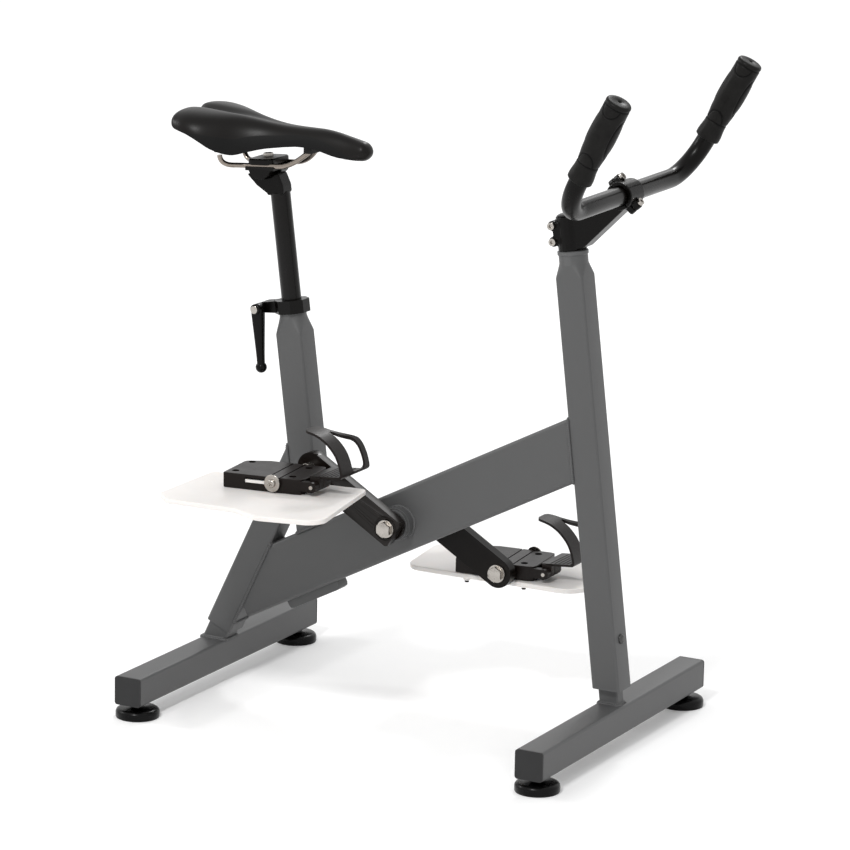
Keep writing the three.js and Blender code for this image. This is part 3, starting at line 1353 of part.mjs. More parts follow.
const strutStub = stub(strutFrame, strutStubSide, strutStubSide, 0);
const columnStub = stub(columnFrame, columnStubDepth, columnStubWidth, columnStubSetback);
baseBeam("rear_beam", 0, rearBeamLength, strutFrame, strutStub);
baseBeam("front_beam", wheelbase, frontBeamLength, columnFrame, columnStub);
[["rear", 0, rearBeamLength], ["front", wheelbase, frontBeamLength]].forEach(([end, x, length]) => {
  endCap(`${end}_cap_right`, x, -length / 2);
  endCap(`${end}_cap_left`, x, length / 2);
  const [right, left] = footPlaces(length);
  foot(`${end}_foot_right`, x, right);
  foot(`${end}_foot_left`, x, left);
});
rearStrut();
seatTube();
mainBeam();
frontColumn();
frameBolt("strut_bolt", strutFrame, -1);
frameBolt("column_bolt", columnFrame, 1);
bearingCup("bearing_cup_right", -1);
bearingCup("bearing_cup_left", 1);
crankBearing("crank_bearing_right", -1);
crankBearing("crank_bearing_left", 1);
crankSet();
seatCollar();
collarScrew();
clampLever();
seatPost();
const clampFrame = frameAt(seatFrame, -headSetback, 0, tiltAxisRise, seatTubeLean - railTilt);
const saddleFrame = frameAt(clampFrame, 0, 0, 0, railTilt);
saddleClamp(clampFrame);
saddleRails(clampFrame);
saddleShell(saddleFrame, clampFrame);
saddleCushion(saddleFrame);
steerer();
const stemFrame = frameAt(columnFrame, 0, 0, columnTop + fitGap, 0);
const faceFrame = frameAt(stemFrame, barForward, 0, barRise, -faceTilt);
steererCap(stemFrame);
stemBody(stemFrame, faceFrame);
facePlate(faceFrame);
stemBolts(stemFrame, faceFrame);
const barFrame = frameAt(stemFrame, barForward, 0, barRise, columnLean);
handlebar(barFrame);
grip("grip_right", -1, barFrame);
grip("grip_left", 1, barFrame);

// Origin on the floor under the middle of the bike's outer box
const aquaBike = new THREE.Group();
aquaBike.add(bike);
bike.updateWorldMatrix(true, true);
const outerBox = new THREE.Box3().setFromObject(bike, true);
bike.position.set(-(outerBox.min.x + outerBox.max.x) / 2, -(outerBox.min.y + outerBox.max.y) / 2, -outerBox.min.z);

export default aquaBike;
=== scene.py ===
"""Looks of an aqua bike, a free-standing exercise bike for a pool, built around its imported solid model.

Metres, +X forward, +Y to the rider's left, +Z up, floor at Z = 0.
"""

from __future__ import annotations

import json
import logging
import math
from dataclasses import dataclass
from enum import Enum
from typing import Callable, Mapping, Optional, Sequence, Union

import bmesh
import bpy
from mathutils import Matrix, Vector

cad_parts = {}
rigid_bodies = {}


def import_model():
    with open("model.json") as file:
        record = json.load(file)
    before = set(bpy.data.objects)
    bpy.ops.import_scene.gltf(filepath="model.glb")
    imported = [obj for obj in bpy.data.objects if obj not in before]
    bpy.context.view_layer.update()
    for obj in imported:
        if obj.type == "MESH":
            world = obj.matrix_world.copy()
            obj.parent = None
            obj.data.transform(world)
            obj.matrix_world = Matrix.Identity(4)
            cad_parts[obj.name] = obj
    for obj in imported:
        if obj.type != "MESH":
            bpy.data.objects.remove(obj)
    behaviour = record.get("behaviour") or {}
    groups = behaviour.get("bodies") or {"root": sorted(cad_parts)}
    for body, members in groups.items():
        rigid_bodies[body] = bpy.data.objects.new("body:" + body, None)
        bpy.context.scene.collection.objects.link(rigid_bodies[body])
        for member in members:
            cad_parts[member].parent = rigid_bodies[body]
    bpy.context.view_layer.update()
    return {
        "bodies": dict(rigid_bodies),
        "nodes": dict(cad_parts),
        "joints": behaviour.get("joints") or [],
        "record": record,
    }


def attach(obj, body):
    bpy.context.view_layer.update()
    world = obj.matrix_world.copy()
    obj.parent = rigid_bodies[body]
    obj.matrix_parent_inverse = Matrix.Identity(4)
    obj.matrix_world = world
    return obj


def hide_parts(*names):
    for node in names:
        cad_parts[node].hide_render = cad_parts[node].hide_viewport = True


LOG = logging.getLogger("aqua_bike")

# The side of the photograph in pixels, and where the bike's middle plane is along Y.
IMAGE_SIDE = 850
MIDDLE = 0.0154756

# The gap between faces that would touch, and how near to each other points are merged.
FIT_GAP = 0.0003
MERGE_REACH = 0.000002

# How far a solid reaches into the one that it is joined with, and a tool beyond the face that it cuts.
OVERLAP = 0.001
OVERSHOOT = 0.002

# The angle in degrees above which an edge gets rounded, and those above which it stays sharp in the shading:
# on most pieces, on softened ones and on curved ones.
SHARP_EDGE = 38.0
CREASE = 40.0
SOFT_CREASE = 50.0
CURVED_CREASE = 60.0

# How many sides turned forms have, from a screw's shank to a foot's disc.
SCREW_SIDES = 24
STUD_SIDES = 32
HEAD_SIDES = 48
AXLE_SIDES = 64
WASHER_SIDES = 72
WIDE_SIDES = 96

# How many points lie round a hexagon, the share of its width that its end face has, and the slope between.
HEX_STEPS = 48
HEX_FACE = 0.97
HEX_SLOPE = math.tan(math.radians(30))

FORWARD = Vector((1, 0, 0))
SIDEWAYS = Vector((0, 1, 0))
UP = Vector((0, 0, 1))

Piece = bpy.types.Object
Nodes = Mapping[str, Piece]
Socket = bpy.types.NodeSocket
Triple = tuple[float, float, float]
Colour = Triple
Table = Sequence[tuple[float, float]]
Outline = list[tuple[float, float]]


class Side(Enum):
    """The rider's right and left, with the sign of Y on each."""

    RIGHT = -1
    LEFT = 1

    @property
    def label(self) -> str:
        """The word that node names end in."""
        return self.name.lower()

    @property
    def outward(self) -> Matrix:
        """A turn that lays +Z along Y, away from the bike on this side."""
        return Matrix.Rotation(math.radians(-90 * self.value), 4, "X")


@dataclass(frozen=True)
class Station:
    """A place that pieces are built at, on the bike's middle plane and leaning about the sideways axis.

    Attributes:
        x: Place forward of the origin.
        z: Height above the floor.
        lean: Turn about +Y in degrees, which tips +Z forward.
    """

    x: float
    z: float
    lean: float

    @property
    def matrix(self) -> Matrix:
        """The station as a matrix from its own axes to the bike's."""
        return Matrix.Translation((self.x, MIDDLE, self.z)) @ Matrix.Rotation(math.radians(self.lean), 4, "Y")

    def direction(self, axis: Vector) -> Vector:
        """A direction of the station's own axes, in the bike's."""
        return self.matrix.to_3x3() @ axis


STRUT = Station(-0.3254615, 0.061, 25.1)
SEAT_TUBE = Station(-0.1895056, 0.3512348, -7.6)
MAIN_BEAM = Station(-0.0324615, 0.2695, -27.6)
COLUMN = Station(0.2845385, 0.061, -7.35)
SADDLE_CLAMP = Station(-0.2545661, 0.7360102, -4.0)
SADDLE = Station(-0.2545661, 0.7360102, 0.0)
STEM = Station(0.2062069, 0.6682688, -7.35)
BAR = Station(0.2797138, 0.7495404, 0.0)
BAR_FACE = Station(0.2797138, 0.7495404, -41.35)
LEVER = Station(-0.2569002, 0.5387688, -4.5)


def lerp(low: float, high: float, share: float) -> float:
    """The value at a share of the way from low to high."""
    return low + (high - low) * share


def read(table: Table, place: float) -> float:
    """Reads a table of places and values with a smooth curve through its points.

    Args:
        table: Pairs of a place and a value, with rising places.
        place: The place to read at, held inside the table's range.

    Returns:
        The value on the curve.
    """
    if place <= table[0][0]:
        return table[0][1]
    if place >= table[-1][0]:
        return table[-1][1]
    i = max(k for k in range(len(table) - 1) if table[k][0] <= place)

    def slope(k: int) -> float:
        """The slope of the curve at a point of the table."""
        before, after = table[max(k - 1, 0)], table[min(k + 1, len(table) - 1)]
        return (after[1] - before[1]) / (after[0] - before[0])

    (x0, y0), (x1, y1) = table[i], table[i + 1]
    span = x1 - x0
    t = (place - x0) / span
    return (
        (2 * t**3 - 3 * t**2 + 1) * y0
        + (t**3 - 2 * t**2 + t) * span * slope(i)
        + (3 * t**2 - 2 * t**3) * y1
        + (t**3 - t**2) * span * slope(i + 1)
    )


# Outlines and paths


def rounded(corners: Sequence[Triple], steps: int) -> Outline:
    """Rounds the corners of a closed outline.

    Args:
        corners: Each corner as x, y and how far along its edges the rounding may reach.
        steps: How many straight pieces make up each rounding.

    Returns:
        The points of the outline in order.
    """
    made: Outline = []
    for i, (x, y, radius) in enumerate(corners):
        corner = Vector((x, y))
        back = Vector(corners[i - 1][:2]) - corner
        ahead = Vector(corners[(i + 1) % len(corners)][:2]) - corner
        half = back.angle(ahead) / 2
        reach = min(radius / math.tan(half), back.length / 2, ahead.length / 2)
        middle = corner + (back.normalized() + ahead.normalized()).normalized() * (reach / math.cos(half))
        arm = corner + back.normalized() * reach - middle
        sweep = math.copysign(math.pi - 2 * half, -back.cross(ahead))
        for k in range(steps + 1):
            turned = Matrix.Rotation(sweep * k / steps, 2) @ arm
            made.append((middle.x + turned.x, middle.y + turned.y))
    return made


def rounded_box(depth: float, width: float, radius: float, steps: int = 6) -> Outline:
    """The outline of a square tube, with its middle at the origin."""
    x, y = depth / 2, width / 2
    return rounded([(x, -y, radius), (x, y, radius), (-x, y, radius), (-x, -y, radius)], steps)


def corner_angles(sides: int) -> list[float]:
    """The angles at which the corners of a regular polygon lie."""
    return [2 * math.pi * k / sides for k in range(sides)]


def circle(radius: float, sides: int) -> Outline:
    """A circle as an outline."""
    return [(radius * math.cos(t), radius * math.sin(t)) for t in corner_angles(sides)]


def hex_reach(across: float, turn: float) -> float:
    """How far the side of a hexagon is from its middle at an angle, from its size across flats."""
    return across / 2 / math.cos(turn % (math.pi / 3) - math.pi / 6)


def lathe_rings(profile: Table, sides: int) -> list[list[Vector]]:
    """The rings of a piece turned about Z, from a profile of radii and heights."""
    return [[Vector((x, y, z)) for x, y in circle(radius, sides)] for radius, z in profile]


def resampled(path: Sequence[Vector], step: float) -> list[Vector]:
    """A closed path with points about one step apart.

    Args:
        path: The corners of the path, whose last point joins its first.
        step: The distance between new points.

    Returns:
        The new points.
    """
    made: list[Vector] = []
    for start, end in zip(path, [*path[1:], path[0]]):
        count = max(1, round((end - start).length / step))
        made.extend(start.lerp(end, k / count) for k in range(count))
    return made


def fillet_path(corners: Sequence[Vector], radii: Sequence[float], steps: int = 24) -> list[Vector]:
    """An open path through corners, each rounded by an arc.

    Args:
        corners: The path's corners, its ends among them.
        radii: The bend radius at each corner, unused at the ends.
        steps: How many straight pieces make up each arc.

    Returns:
        The points of the path.
    """
    made = [corners[0].copy()]
    for i in range(1, len(corners) - 1):
        back = (corners[i - 1] - corners[i]).normalized()
        ahead = (corners[i + 1] - corners[i]).normalized()
        half = back.angle(ahead) / 2
        middle = corners[i] + (back + ahead).normalized() * (radii[i] / math.sin(half))
        start = corners[i] + back * (radii[i] / math.tan(half))
        arm = start - middle
        axis = arm.cross(ahead).normalized()
        for k in range(steps + 1):
            made.append(middle + Matrix.Rotation((math.pi - 2 * half) * k / steps, 3, axis) @ arm)
    made.append(corners[-1].copy())
    return made


# Meshes


class Form:
    """A mesh that is being made, from rings of points and the faces between them."""

    def __init__(self) -> None:
        """Starts with no points."""
        self.points: list[Vector] = []
        self.faces: list[tuple[int, ...]] = []

    def loft(self, rings: Sequence[Sequence[Vector]], looped: bool = False) -> Form:
        """Adds a skin over rings that all have as many points, with flat ends unless it is looped.

        Args:
            rings: The rings in order along the piece.
            looped: Whether the last ring joins the first one.

        Returns:
            The form itself.
        """
        start, count = len(self.points), len(rings[0])
        for ring in rings:
            self.points.extend(Vector(p) for p in ring)
        for r in range(len(rings) - (0 if looped else 1)):
            low, high = start + r * count, start + (r + 1) % len(rings) * count
            for s in range(count):
                n = (s + 1) % count
                self.faces.append((low + s, low + n, high + n, high + s))
        if not looped:
            self.faces.append(tuple(range(start + count - 1, start - 1, -1)))
            last = start + (len(rings) - 1) * count
            self.faces.append(tuple(range(last, last + count)))
        return self

    def lathe(self, profile: Table, sides: int, looped: bool = False) -> Form:
        """Adds a turned piece about Z from a profile of radii and heights."""
        return self.loft(lathe_rings(profile, sides), looped)

    def prism(self, outline: Outline, low: float, high: float) -> Form:
        """Adds an outline in X and Y, raised from one height to another."""
        return self.loft([[Vector((x, y, z)) for x, y in outline] for z in (low, high)])

    def upright(self, outline: Outline, low: float, high: float) -> Form:
        """Adds an outline in X and Z, drawn out along Y from one place to another."""
        return self.loft([[Vector((x, y, z)) for x, z in outline] for y in (low, high)])

    def block(self, low: Sequence[float], high: Sequence[float]) -> Form:
        """Adds a box between two corners."""
        outline = [(low[0], low[1]), (high[0], low[1]), (high[0], high[1]), (low[0], high[1])]
        return self.prism(outline, low[2], high[2])

    def tube(
        self,
        path: Sequence[Vector],
        radius: Union[float, Callable[[float], float]],
        sides: int,
        looped: bool = False,
    ) -> Form:
        """Adds a round rod along a path.

        Args:
            path: The points of its middle line.
            radius: Its radius, or a function that gives it at a length along the path.
            sides: How many sides its section has.
            looped: Whether the path closes on itself, which needs a flat path.

        Returns:
            The form itself.
        """
        count = len(path)
        ahead = [path[(k + 1) % count] if looped else path[min(k + 1, count - 1)] for k in range(count)]
        behind = [path[k - 1] if looped else path[max(k - 1, 0)] for k in range(count)]
        along = [(a - b).normalized() for a, b in zip(ahead, behind)]
        if looped:
            middle = sum(path, Vector()) / count
            normal = (path[0] - middle).cross(path[count // 4] - middle).normalized()
        else:
            normal = along[0].orthogonal().normalized()
        rings, length = [], 0.0
        for k, point in enumerate(path):
            if k and not looped:
                normal = along[k - 1].rotation_difference(along[k]) @ normal
            if k:
                length += (point - path[k - 1]).length
            other = along[k].cross(normal).normalized()
            reach = radius(length) if callable(radius) else radius
            rings.append([point + normal * x * reach + other * y * reach for x, y in circle(1.0, sides)])
        return self.loft(rings, looped=looped)

    def hexagon(self, across: float, low: float, high: float) -> Form:
        """Adds a hex head along Z whose far end is turned to a chamfer.

        Args:
            across: Its size across flats.
            low: The height of its foot.
            high: The height of its far end, above the foot or below it.

        Returns:
            The form itself.
        """
        angles = corner_angles(HEX_STEPS)
        reaches = [hex_reach(across, t) for t in angles]
        inside, slope = across / 2 * HEX_FACE, math.copysign(HEX_SLOPE, high - low)
        foot = [Vector((reach * math.cos(t), reach * math.sin(t), low)) for reach, t in zip(reaches, angles)]
        edge = [Vector((p.x, p.y, high - (reach - inside) * slope)) for p, reach in zip(foot, reaches)]
        face = [Vector((inside * math.cos(t), inside * math.sin(t), high)) for t in angles]
        return self.loft([foot, edge, face])

    def add(self, other: Form) -> Form:
        """Adds another form's skin to this one.

        Args:
            other: The other form.

        Returns:
            The form itself.
        """
        start = len(self.points)
        self.points.extend(other.points)
        self.faces.extend(tuple(start + k for k in face) for face in other.faces)
        return self

    def moved(self, matrix: Matrix) -> Form:
        """Moves every point made so far."""
        self.points = [matrix @ p for p in self.points]
        return self

    def build(self, name: str, matrix: Optional[Matrix] = None, crease: float = CREASE) -> Piece:
        """Turns the form into an object at the origin, with its place in its mesh.

        Args:
            name: The piece's name.
            matrix: Where it goes on the bike, if its points are in a station's axes.
            crease: The angle in degrees above which an edge stays sharp.

        Returns:
            The object.
        """
        if matrix is not None:
            self.moved(matrix)
        mesh = bpy.data.meshes.new(name)
        mesh.from_pydata([tuple(p) for p in self.points], [], self.faces)
        work = bmesh.new()
        work.from_mesh(mesh)
        bmesh.ops.recalc_face_normals(work, faces=work.faces)
        work.to_mesh(mesh)
        work.free()
        piece = bpy.data.objects.new(name, mesh)
        bpy.context.scene.collection.objects.link(piece)
        smooth(piece, crease)
        return piece


def smooth(piece: Piece, crease: float = CREASE) -> None:
    """Shades a piece smoothly except over edges sharper than the crease angle."""
    piece.data.shade_smooth()
    piece.data.set_sharp_from_angle(angle=math.radians(crease))


def settle(piece: Piece) -> Piece:
    """Applies all of a piece's modifiers to its mesh.

    Args:
        piece: The piece.

    Returns:
        The piece.
    """
    graph = bpy.context.evaluated_depsgraph_get()
    mesh = bpy.data.meshes.new_from_object(piece.evaluated_get(graph), depsgraph=graph)
    old = piece.data
    piece.modifiers.clear()
    piece.data = mesh
    bpy.data.meshes.remove(old)
    mesh.name = piece.name
    return piece


def combine(piece: Piece, tools: Sequence[Piece], operation: str) -> Piece:
    """Cuts tools out of a piece, or adds them to it, and removes the tools.

    Args:
        piece: The piece to change.
        tools: The other solids.
        operation: DIFFERENCE, UNION or INTERSECT.

    Returns:
        The piece.
    """
    for tool in tools:
        modifier = piece.modifiers.new("combine", "BOOLEAN")
        modifier.operation = operation
        modifier.solver = "EXACT"
        modifier.object = tool
    settle(piece)
    for tool in tools:
        bpy.data.objects.remove(tool)
    return piece


def round_edges(piece: Piece, width: float, steps: int = 2) -> None:
    """Adds a modifier that rounds a piece's sharp edges.

    Args:
        piece: The piece.
        width: How wide the rounding is.
        steps: How many faces make it up.
    """
    bevel = piece.modifiers.new("edges", "BEVEL")
    bevel.limit_method = "ANGLE"
    bevel.angle_limit = math.radians(SHARP_EDGE)
    bevel.width = width
    bevel.segments = steps


def weigh(piece: Piece, weight: int = 60) -> None:
    """Adds a modifier that keeps flat faces flat in the shading beside rounded edges.

    Args:
        piece: The piece.
        weight: How much more large faces count than small ones.
    """
    modifier = piece.modifiers.new("shading", "WEIGHTED_NORMAL")
    modifier.keep_sharp = True
    modifier.weight = weight


def soften(piece: Piece, width: float, steps: int = 3) -> Piece:
    """Rounds the sharp edges in a piece's mesh.

    Args:
        piece: The piece.
        width: How wide the rounding is.
        steps: How many faces make it up.

    Returns:
        The piece.
    """
    round_edges(piece, width, steps)
    settle(piece)
    smooth(piece, SOFT_CREASE)
    weigh(piece)
    return settle(piece)


def forge_faces(piece: Piece, grain: float, flow: float = 0.5, rounds: int = 6) -> None:
    """Adds modifiers that rebuild a piece from small faces and let them flow together.

    Args:
        piece: The piece.
        grain: The size of the faces.
        flow: How far each face goes towards its neighbours in a round, from 0 to 1.
        rounds: How many rounds there are.
    """
    remesh = piece.modifiers.new("faces", "REMESH")
    remesh.mode = "VOXEL"
    remesh.voxel_size = grain
    remesh.use_smooth_shade = True
    smoothing = piece.modifiers.new("flow", "SMOOTH")
    smoothing.factor = flow
    smoothing.iterations = rounds


# Materials


class Wire:
    """A number that one node hands to the next, which Python's operators can work on."""

    def __init__(self, graph: Graph, socket: Socket) -> None:
        """Wraps an output socket of a node in that graph."""
        self.graph = graph
        self.socket = socket

    def _maths(self, operation: str, first: Level, second: Level, clamp: bool = False) -> Wire:
        """Adds one Math node and wraps its result."""
        settings = {"operation": operation, "use_clamp": clamp}
        return Wire(self.graph, self.graph.node("ShaderNodeMath", settings, {0: first, 1: second}).outputs[0])

    def __add__(self, other: Level) -> Wire:
        """This plus other."""
        return self._maths("ADD", self, other)

    __radd__ = __add__

    def __sub__(self, other: Level) -> Wire:
        """This minus other."""
        return self._maths("SUBTRACT", self, other)

    def __rsub__(self, other: Level) -> Wire:
        """Other minus this."""
        return self._maths("SUBTRACT", other, self)

    def __mul__(self, other: Level) -> Wire:
        """This times other."""
        return self._maths("MULTIPLY", self, other)

    __rmul__ = __mul__

    def swing(self, span: float) -> Wire:
        """This as a number that swings about 0 by a span, where this runs from 0 to 1."""
        return (self - 0.5) * span

    def held(self) -> Wire:
        """This, held between 0 and 1."""
        return self._maths("ADD", self, 0.0, clamp=True)

    def above(self, edge: float, blur: float) -> Wire:
        """A mask of where this is above an edge.

        Args:
            edge: The value at which the mask is half.
            blur: How far on each side of that it changes.

        Returns:
            The mask, from 0 below to 1 above.
        """
        node = self.graph.node(
            "ShaderNodeMapRange",
            {"interpolation_type": "SMOOTHSTEP"},
            {"Value": self, "From Min": edge - blur, "From Max": edge + blur},
        )
        return Wire(self.graph, node.outputs[0])


Level = Union[Wire, float]
Link = Union[Wire, Socket, float, Sequence[float]]


class Graph:
    """A node tree that nodes are added to through one method."""

    def __init__(self, tree: bpy.types.NodeTree) -> None:
        """Wraps a node tree."""
        self.tree = tree

    def node(
        self,
        kind: str,
        settings: Optional[Mapping[str, object]] = None,
        sockets: Optional[Mapping[Union[int, str], Link]] = None,
    ) -> bpy.types.Node:
        """Adds a node.

        Args:
            kind: The node's type.
            settings: Its own settings, which are made first.
            sockets: A value or a link for each input, by name or number.

        Returns:
            The node.
        """
        made = self.tree.nodes.new(kind)
        for key, value in (settings or {}).items():
            setattr(made, key, value)
        self.wire(made, sockets or {})
        return made

    def wire(self, node: bpy.types.Node, sockets: Mapping[Union[int, str], Link]) -> None:
        """Gives a node's inputs their values and links.

        Args:
            node: The node.
            sockets: A value or a link for each input, by name or number.
        """
        for key, value in sockets.items():
            if isinstance(value, Wire):
                self.tree.links.new(value.socket, node.inputs[key])
            elif isinstance(value, Socket):
                self.tree.links.new(value, node.inputs[key])
            elif isinstance(value, tuple) and len(value) == 3 and node.inputs[key].type == "RGBA":
                node.inputs[key].default_value = (*value, 1.0)
            else:
                node.inputs[key].default_value = value


class Shader(Graph):
    """One material's node tree."""

    def __init__(self, name: str) -> None:
        """Makes a material with a plain surface shader.

        Args:
            name: The material's name.
        """
        self.material = bpy.data.materials.new(name)
        self.material.use_nodes = True
        super().__init__(self.material.node_tree)
        self.surface = self.tree.nodes["Principled BSDF"]
        self.places = self.node("ShaderNodeTexCoord").outputs["Object"]

    def stretched(self, scale: Sequence[float]) -> Socket:
        """The place on the surface, stretched by a factor along each axis."""
        return self.node("ShaderNodeMapping", {}, {"Vector": self.places, "Scale": scale}).outputs[0]

    def noise(
        self, scale: float, detail: float = 2.0, rough: float = 0.5, places: Optional[Socket] = None
    ) -> Wire:
        """Soft noise between 0 and 1, with its scale in cells per metre."""
        sockets = {"Vector": places or self.places, "Scale": scale, "Detail": detail, "Roughness": rough}
        return Wire(self, self.node("ShaderNodeTexNoise", {}, sockets).outputs[0])

    def cells(self, scale: float, feature: str = "F1") -> Wire:
        """Distance in a pattern of random cells, with its scale in cells per metre."""
        node = self.node("ShaderNodeTexVoronoi", {"feature": feature}, {"Vector": self.places, "Scale": scale})
        return Wire(self, node.outputs["Distance"])

    def attribute(self, name: str) -> Wire:
        """A number that the mesh carries at each point."""
        return Wire(self, self.node("ShaderNodeAttribute", {"attribute_name": name}).outputs["Fac"])

    def ridge(self, edge: float = 0.56, blur: float = 0.05) -> Wire:
        """A mask of the outer edges, where handling wears a finish."""
        geometry = self.node("ShaderNodeNewGeometry")
        return Wire(self, geometry.outputs["Pointiness"]).above(edge, blur)

    def tone(self, colour: Colour, level: Wire) -> Socket:
        """A colour made lighter or darker by a level about 1."""
        return self.node("ShaderNodeVectorMath", {"operation": "SCALE"}, {0: colour, "Scale": level}).outputs[0]

    def mix(self, share: Wire, first: Link, second: Link) -> Socket:
        """A mix of two colours."""
        return self.node("ShaderNodeMix", {"data_type": "RGBA"}, {0: share, 6: first, 7: second}).outputs[2]

    def bump(self, height: Wire, depth: float) -> Socket:
        """A normal that follows a height of so many metres."""
        sockets = {"Height": height, "Distance": depth, "Strength": 1.0}
        return self.node("ShaderNodeBump", {}, sockets).outputs[0]

    def finish(self, **sockets: Link) -> None:
        """Gives the surface shader its values and links, with underscores for spaces."""
        self.wire(self.surface, {key.replace("_", " "): value for key, value in sockets.items()})


@dataclass(frozen=True)
class Finish:
    """What a surface is made of and how it is finished.

    Attributes:
        name: The material's name.
        slot: The record's material slot, which is not used.
        colour: Its colour as linear red, green and blue.
        roughness: Its roughness from 0, polished, to 1, dull.
    """

    name: str
    slot: str
    colour: Colour
    roughness: float

    def material(self) -> bpy.types.Material:
        """The finish as a material, which is made at its first use.

        Returns:
            The material.
        """
        made = bpy.data.materials.get(self.name)
        if made is None:
            shader = Shader(self.name)
            self.paint(shader)
            made = shader.material
        return made

    def paint(self, shader: Shader) -> None:
        """Fills in the shader of the material."""
        raise NotImplementedError


@dataclass(frozen=True)
class PowderCoat(Finish):
    """Satin powder coat on steel tube: fine orange peel, faint mottle, thin lighter edges."""

    peel_depth: float = 0.00006
    specular: float = 0.35

    def paint(self, shader: Shader) -> None:
        """Fills in the shader of the material.

        Args:
            shader: The material's shader.
        """
        mottle = shader.noise(14, 4, 0.6)
        fleck = shader.noise(2600, 1)
        peel = shader.noise(520, 3, 0.6)
        level = 0.93 + mottle * 0.08 + fleck * 0.06 + shader.ridge() * 0.16
        shader.finish(
            Base_Color=shader.tone(self.colour, level),
            Roughness=self.roughness + fleck.swing(0.12) + mottle.swing(0.08),
            Normal=shader.bump(peel, self.peel_depth),
            Specular_IOR_Level=self.specular,
        )


@dataclass(frozen=True)
class MouldedPlastic(Finish):
    """Moulded black or grey plastic with a spark-eroded grain and rubbed edges."""

    grain_depth: float = 0.00006
    specular: float = 0.15

    def paint(self, shader: Shader) -> None:
        """Fills in the shader of the material.

        Args:
            shader: The material's shader.
        """
        grain = shader.noise(1900, 2, 0.7)
        cloud = shader.noise(45, 3)
        level = 0.86 + cloud * 0.22 + shader.ridge() * 0.7
        shader.finish(
            Base_Color=shader.tone(self.colour, level),
            Roughness=self.roughness + cloud.swing(0.14) - shader.ridge() * 0.08,
            Normal=shader.bump(grain, self.grain_depth),
            Specular_IOR_Level=self.specular,
        )


@dataclass(frozen=True)
class GlossPaint(Finish):
    """Gloss black, painted or moulded, with faint polishing marks and a little dust."""

    mark_depth: float = 0.000001
    specular: float = 0.13
    edge_coat: float = 0.2

    def paint(self, shader: Shader) -> None:
        """Fills in the shader of the material.

        Args:
            shader: The material's shader.
        """
        marks = shader.noise(700, 2, 0.5, shader.stretched((1, 1, 0.08)))
        dust = shader.noise(1400, 1).above(0.7, 0.06)
        cloud = shader.noise(30, 3)
        level = 0.85 + cloud * 0.2 + shader.ridge() * 0.8 + dust * 0.5
        shader.finish(
            Base_Color=shader.tone(self.colour, level),
            Roughness=self.roughness + marks.swing(0.04) + cloud.swing(0.1) + dust * 0.02,
            Normal=shader.bump(marks, self.mark_depth),
            Specular_IOR_Level=self.specular,
            Coat_Weight=shader.ridge() * self.edge_coat,
        )


@dataclass(frozen=True)
class StainlessSteel(Finish):
    """Turned and cold-formed stainless steel, with tool marks and slightly dark pits."""

    line_depth: float = 0.00001

    def paint(self, shader: Shader) -> None:
        """Fills in the shader of the material.

        Args:
            shader: The material's shader.
        """
        lines = shader.noise(2200, 2, 0.6, shader.stretched((1, 0.15, 1)))
        stain = shader.noise(160, 4, 0.6)
        level = 0.8 + stain * 0.3 + lines.swing(0.2)
        shader.finish(
            Base_Color=shader.tone(self.colour, level),
            Metallic=1.0,
            Roughness=self.roughness + stain.swing(0.2) + lines.swing(0.12),
            Normal=shader.bump(lines, self.line_depth),
        )


@dataclass(frozen=True)
class MilkyNylon(Finish):
    """Milky white nylon sheet: a little cloudy, with sawn fine marks and a soft depth."""

    scuff_depth: float = 0.00002
    glow: float = 0.25
    glow_depth: Triple = (0.004, 0.0035, 0.003)

    def paint(self, shader: Shader) -> None:
        """Fills in the shader of the material.

        Args:
            shader: The material's shader.
        """
        cloud = shader.noise(26, 3, 0.6)
        scuff = shader.noise(900, 3, 0.6, shader.stretched((0.15, 1, 1)))
        level = 0.97 + cloud.swing(0.07) + scuff.swing(0.03)
        shader.finish(
            Base_Color=shader.tone(self.colour, level),
            Roughness=self.roughness + scuff.swing(0.2),
            Normal=shader.bump(scuff, self.scuff_depth),
            Subsurface_Weight=self.glow,
            Subsurface_Radius=self.glow_depth,
            Subsurface_Scale=1.0,
        )


@dataclass(frozen=True)
class MouldedRubber(Finish):
    """Dull moulded rubber with fine pores and a dusty bloom, and painted shade that darkens its grooves."""

    pore_depth: float = 0.00003
    specular: float = 0.3
    index: float = 1.25

    def paint(self, shader: Shader) -> None:
        """Fills in the shader of the material.

        Args:
            shader: The material's shader.
        """
        pores = shader.cells(2400)
        bloom = shader.noise(70, 4, 0.6)
        groove = shader.attribute("groove")
        # The groove mask darkens the colour in the grooves: painted shade, standing in for the shade that falls
        # there.
        level = (0.4 + bloom * 1.3 + shader.ridge() * 0.5) * (1 - groove * 0.95)
        shader.finish(
            Base_Color=shader.tone(self.colour, level),
            Roughness=self.roughness + bloom.swing(0.2) + groove * 0.2,
            Normal=shader.bump(pores, self.pore_depth),
            Specular_IOR_Level=self.specular,
            IOR=self.index,
        )


@dataclass(frozen=True)
class SaddleVinyl(Finish):
    """Smooth synthetic leather: a fine grain over the top, and a duller side panel below its seam."""

    panel_colour: Colour = (0.0015, 0.0015, 0.0015)
    seam_width: float = 0.0004
    grain_depth: float = 0.00003
    specular: float = 0.4
    index: float = 1.3

    def paint(self, shader: Shader) -> None:
        """Fills in the shader of the material.

        Args:
            shader: The material's shader.
        """
        grain = shader.cells(1500, "DISTANCE_TO_EDGE")
        crease = shader.noise(380, 3, 0.6)
        cloud = shader.noise(40, 3)
        panel = shader.attribute("panel").above(0.0, self.seam_width)
        top = shader.tone(self.colour, 0.85 + cloud * 0.3)
        side = shader.tone(self.panel_colour, 0.8 + cloud * 0.4)
        shader.finish(
            Base_Color=shader.mix(panel, top, side),
            Roughness=self.roughness + panel * 0.22 + crease.swing(0.1),
            Normal=shader.bump(grain.held() * 0.6 + crease * 0.5, self.grain_depth),
            Specular_IOR_Level=self.specular,
            IOR=self.index,
        )


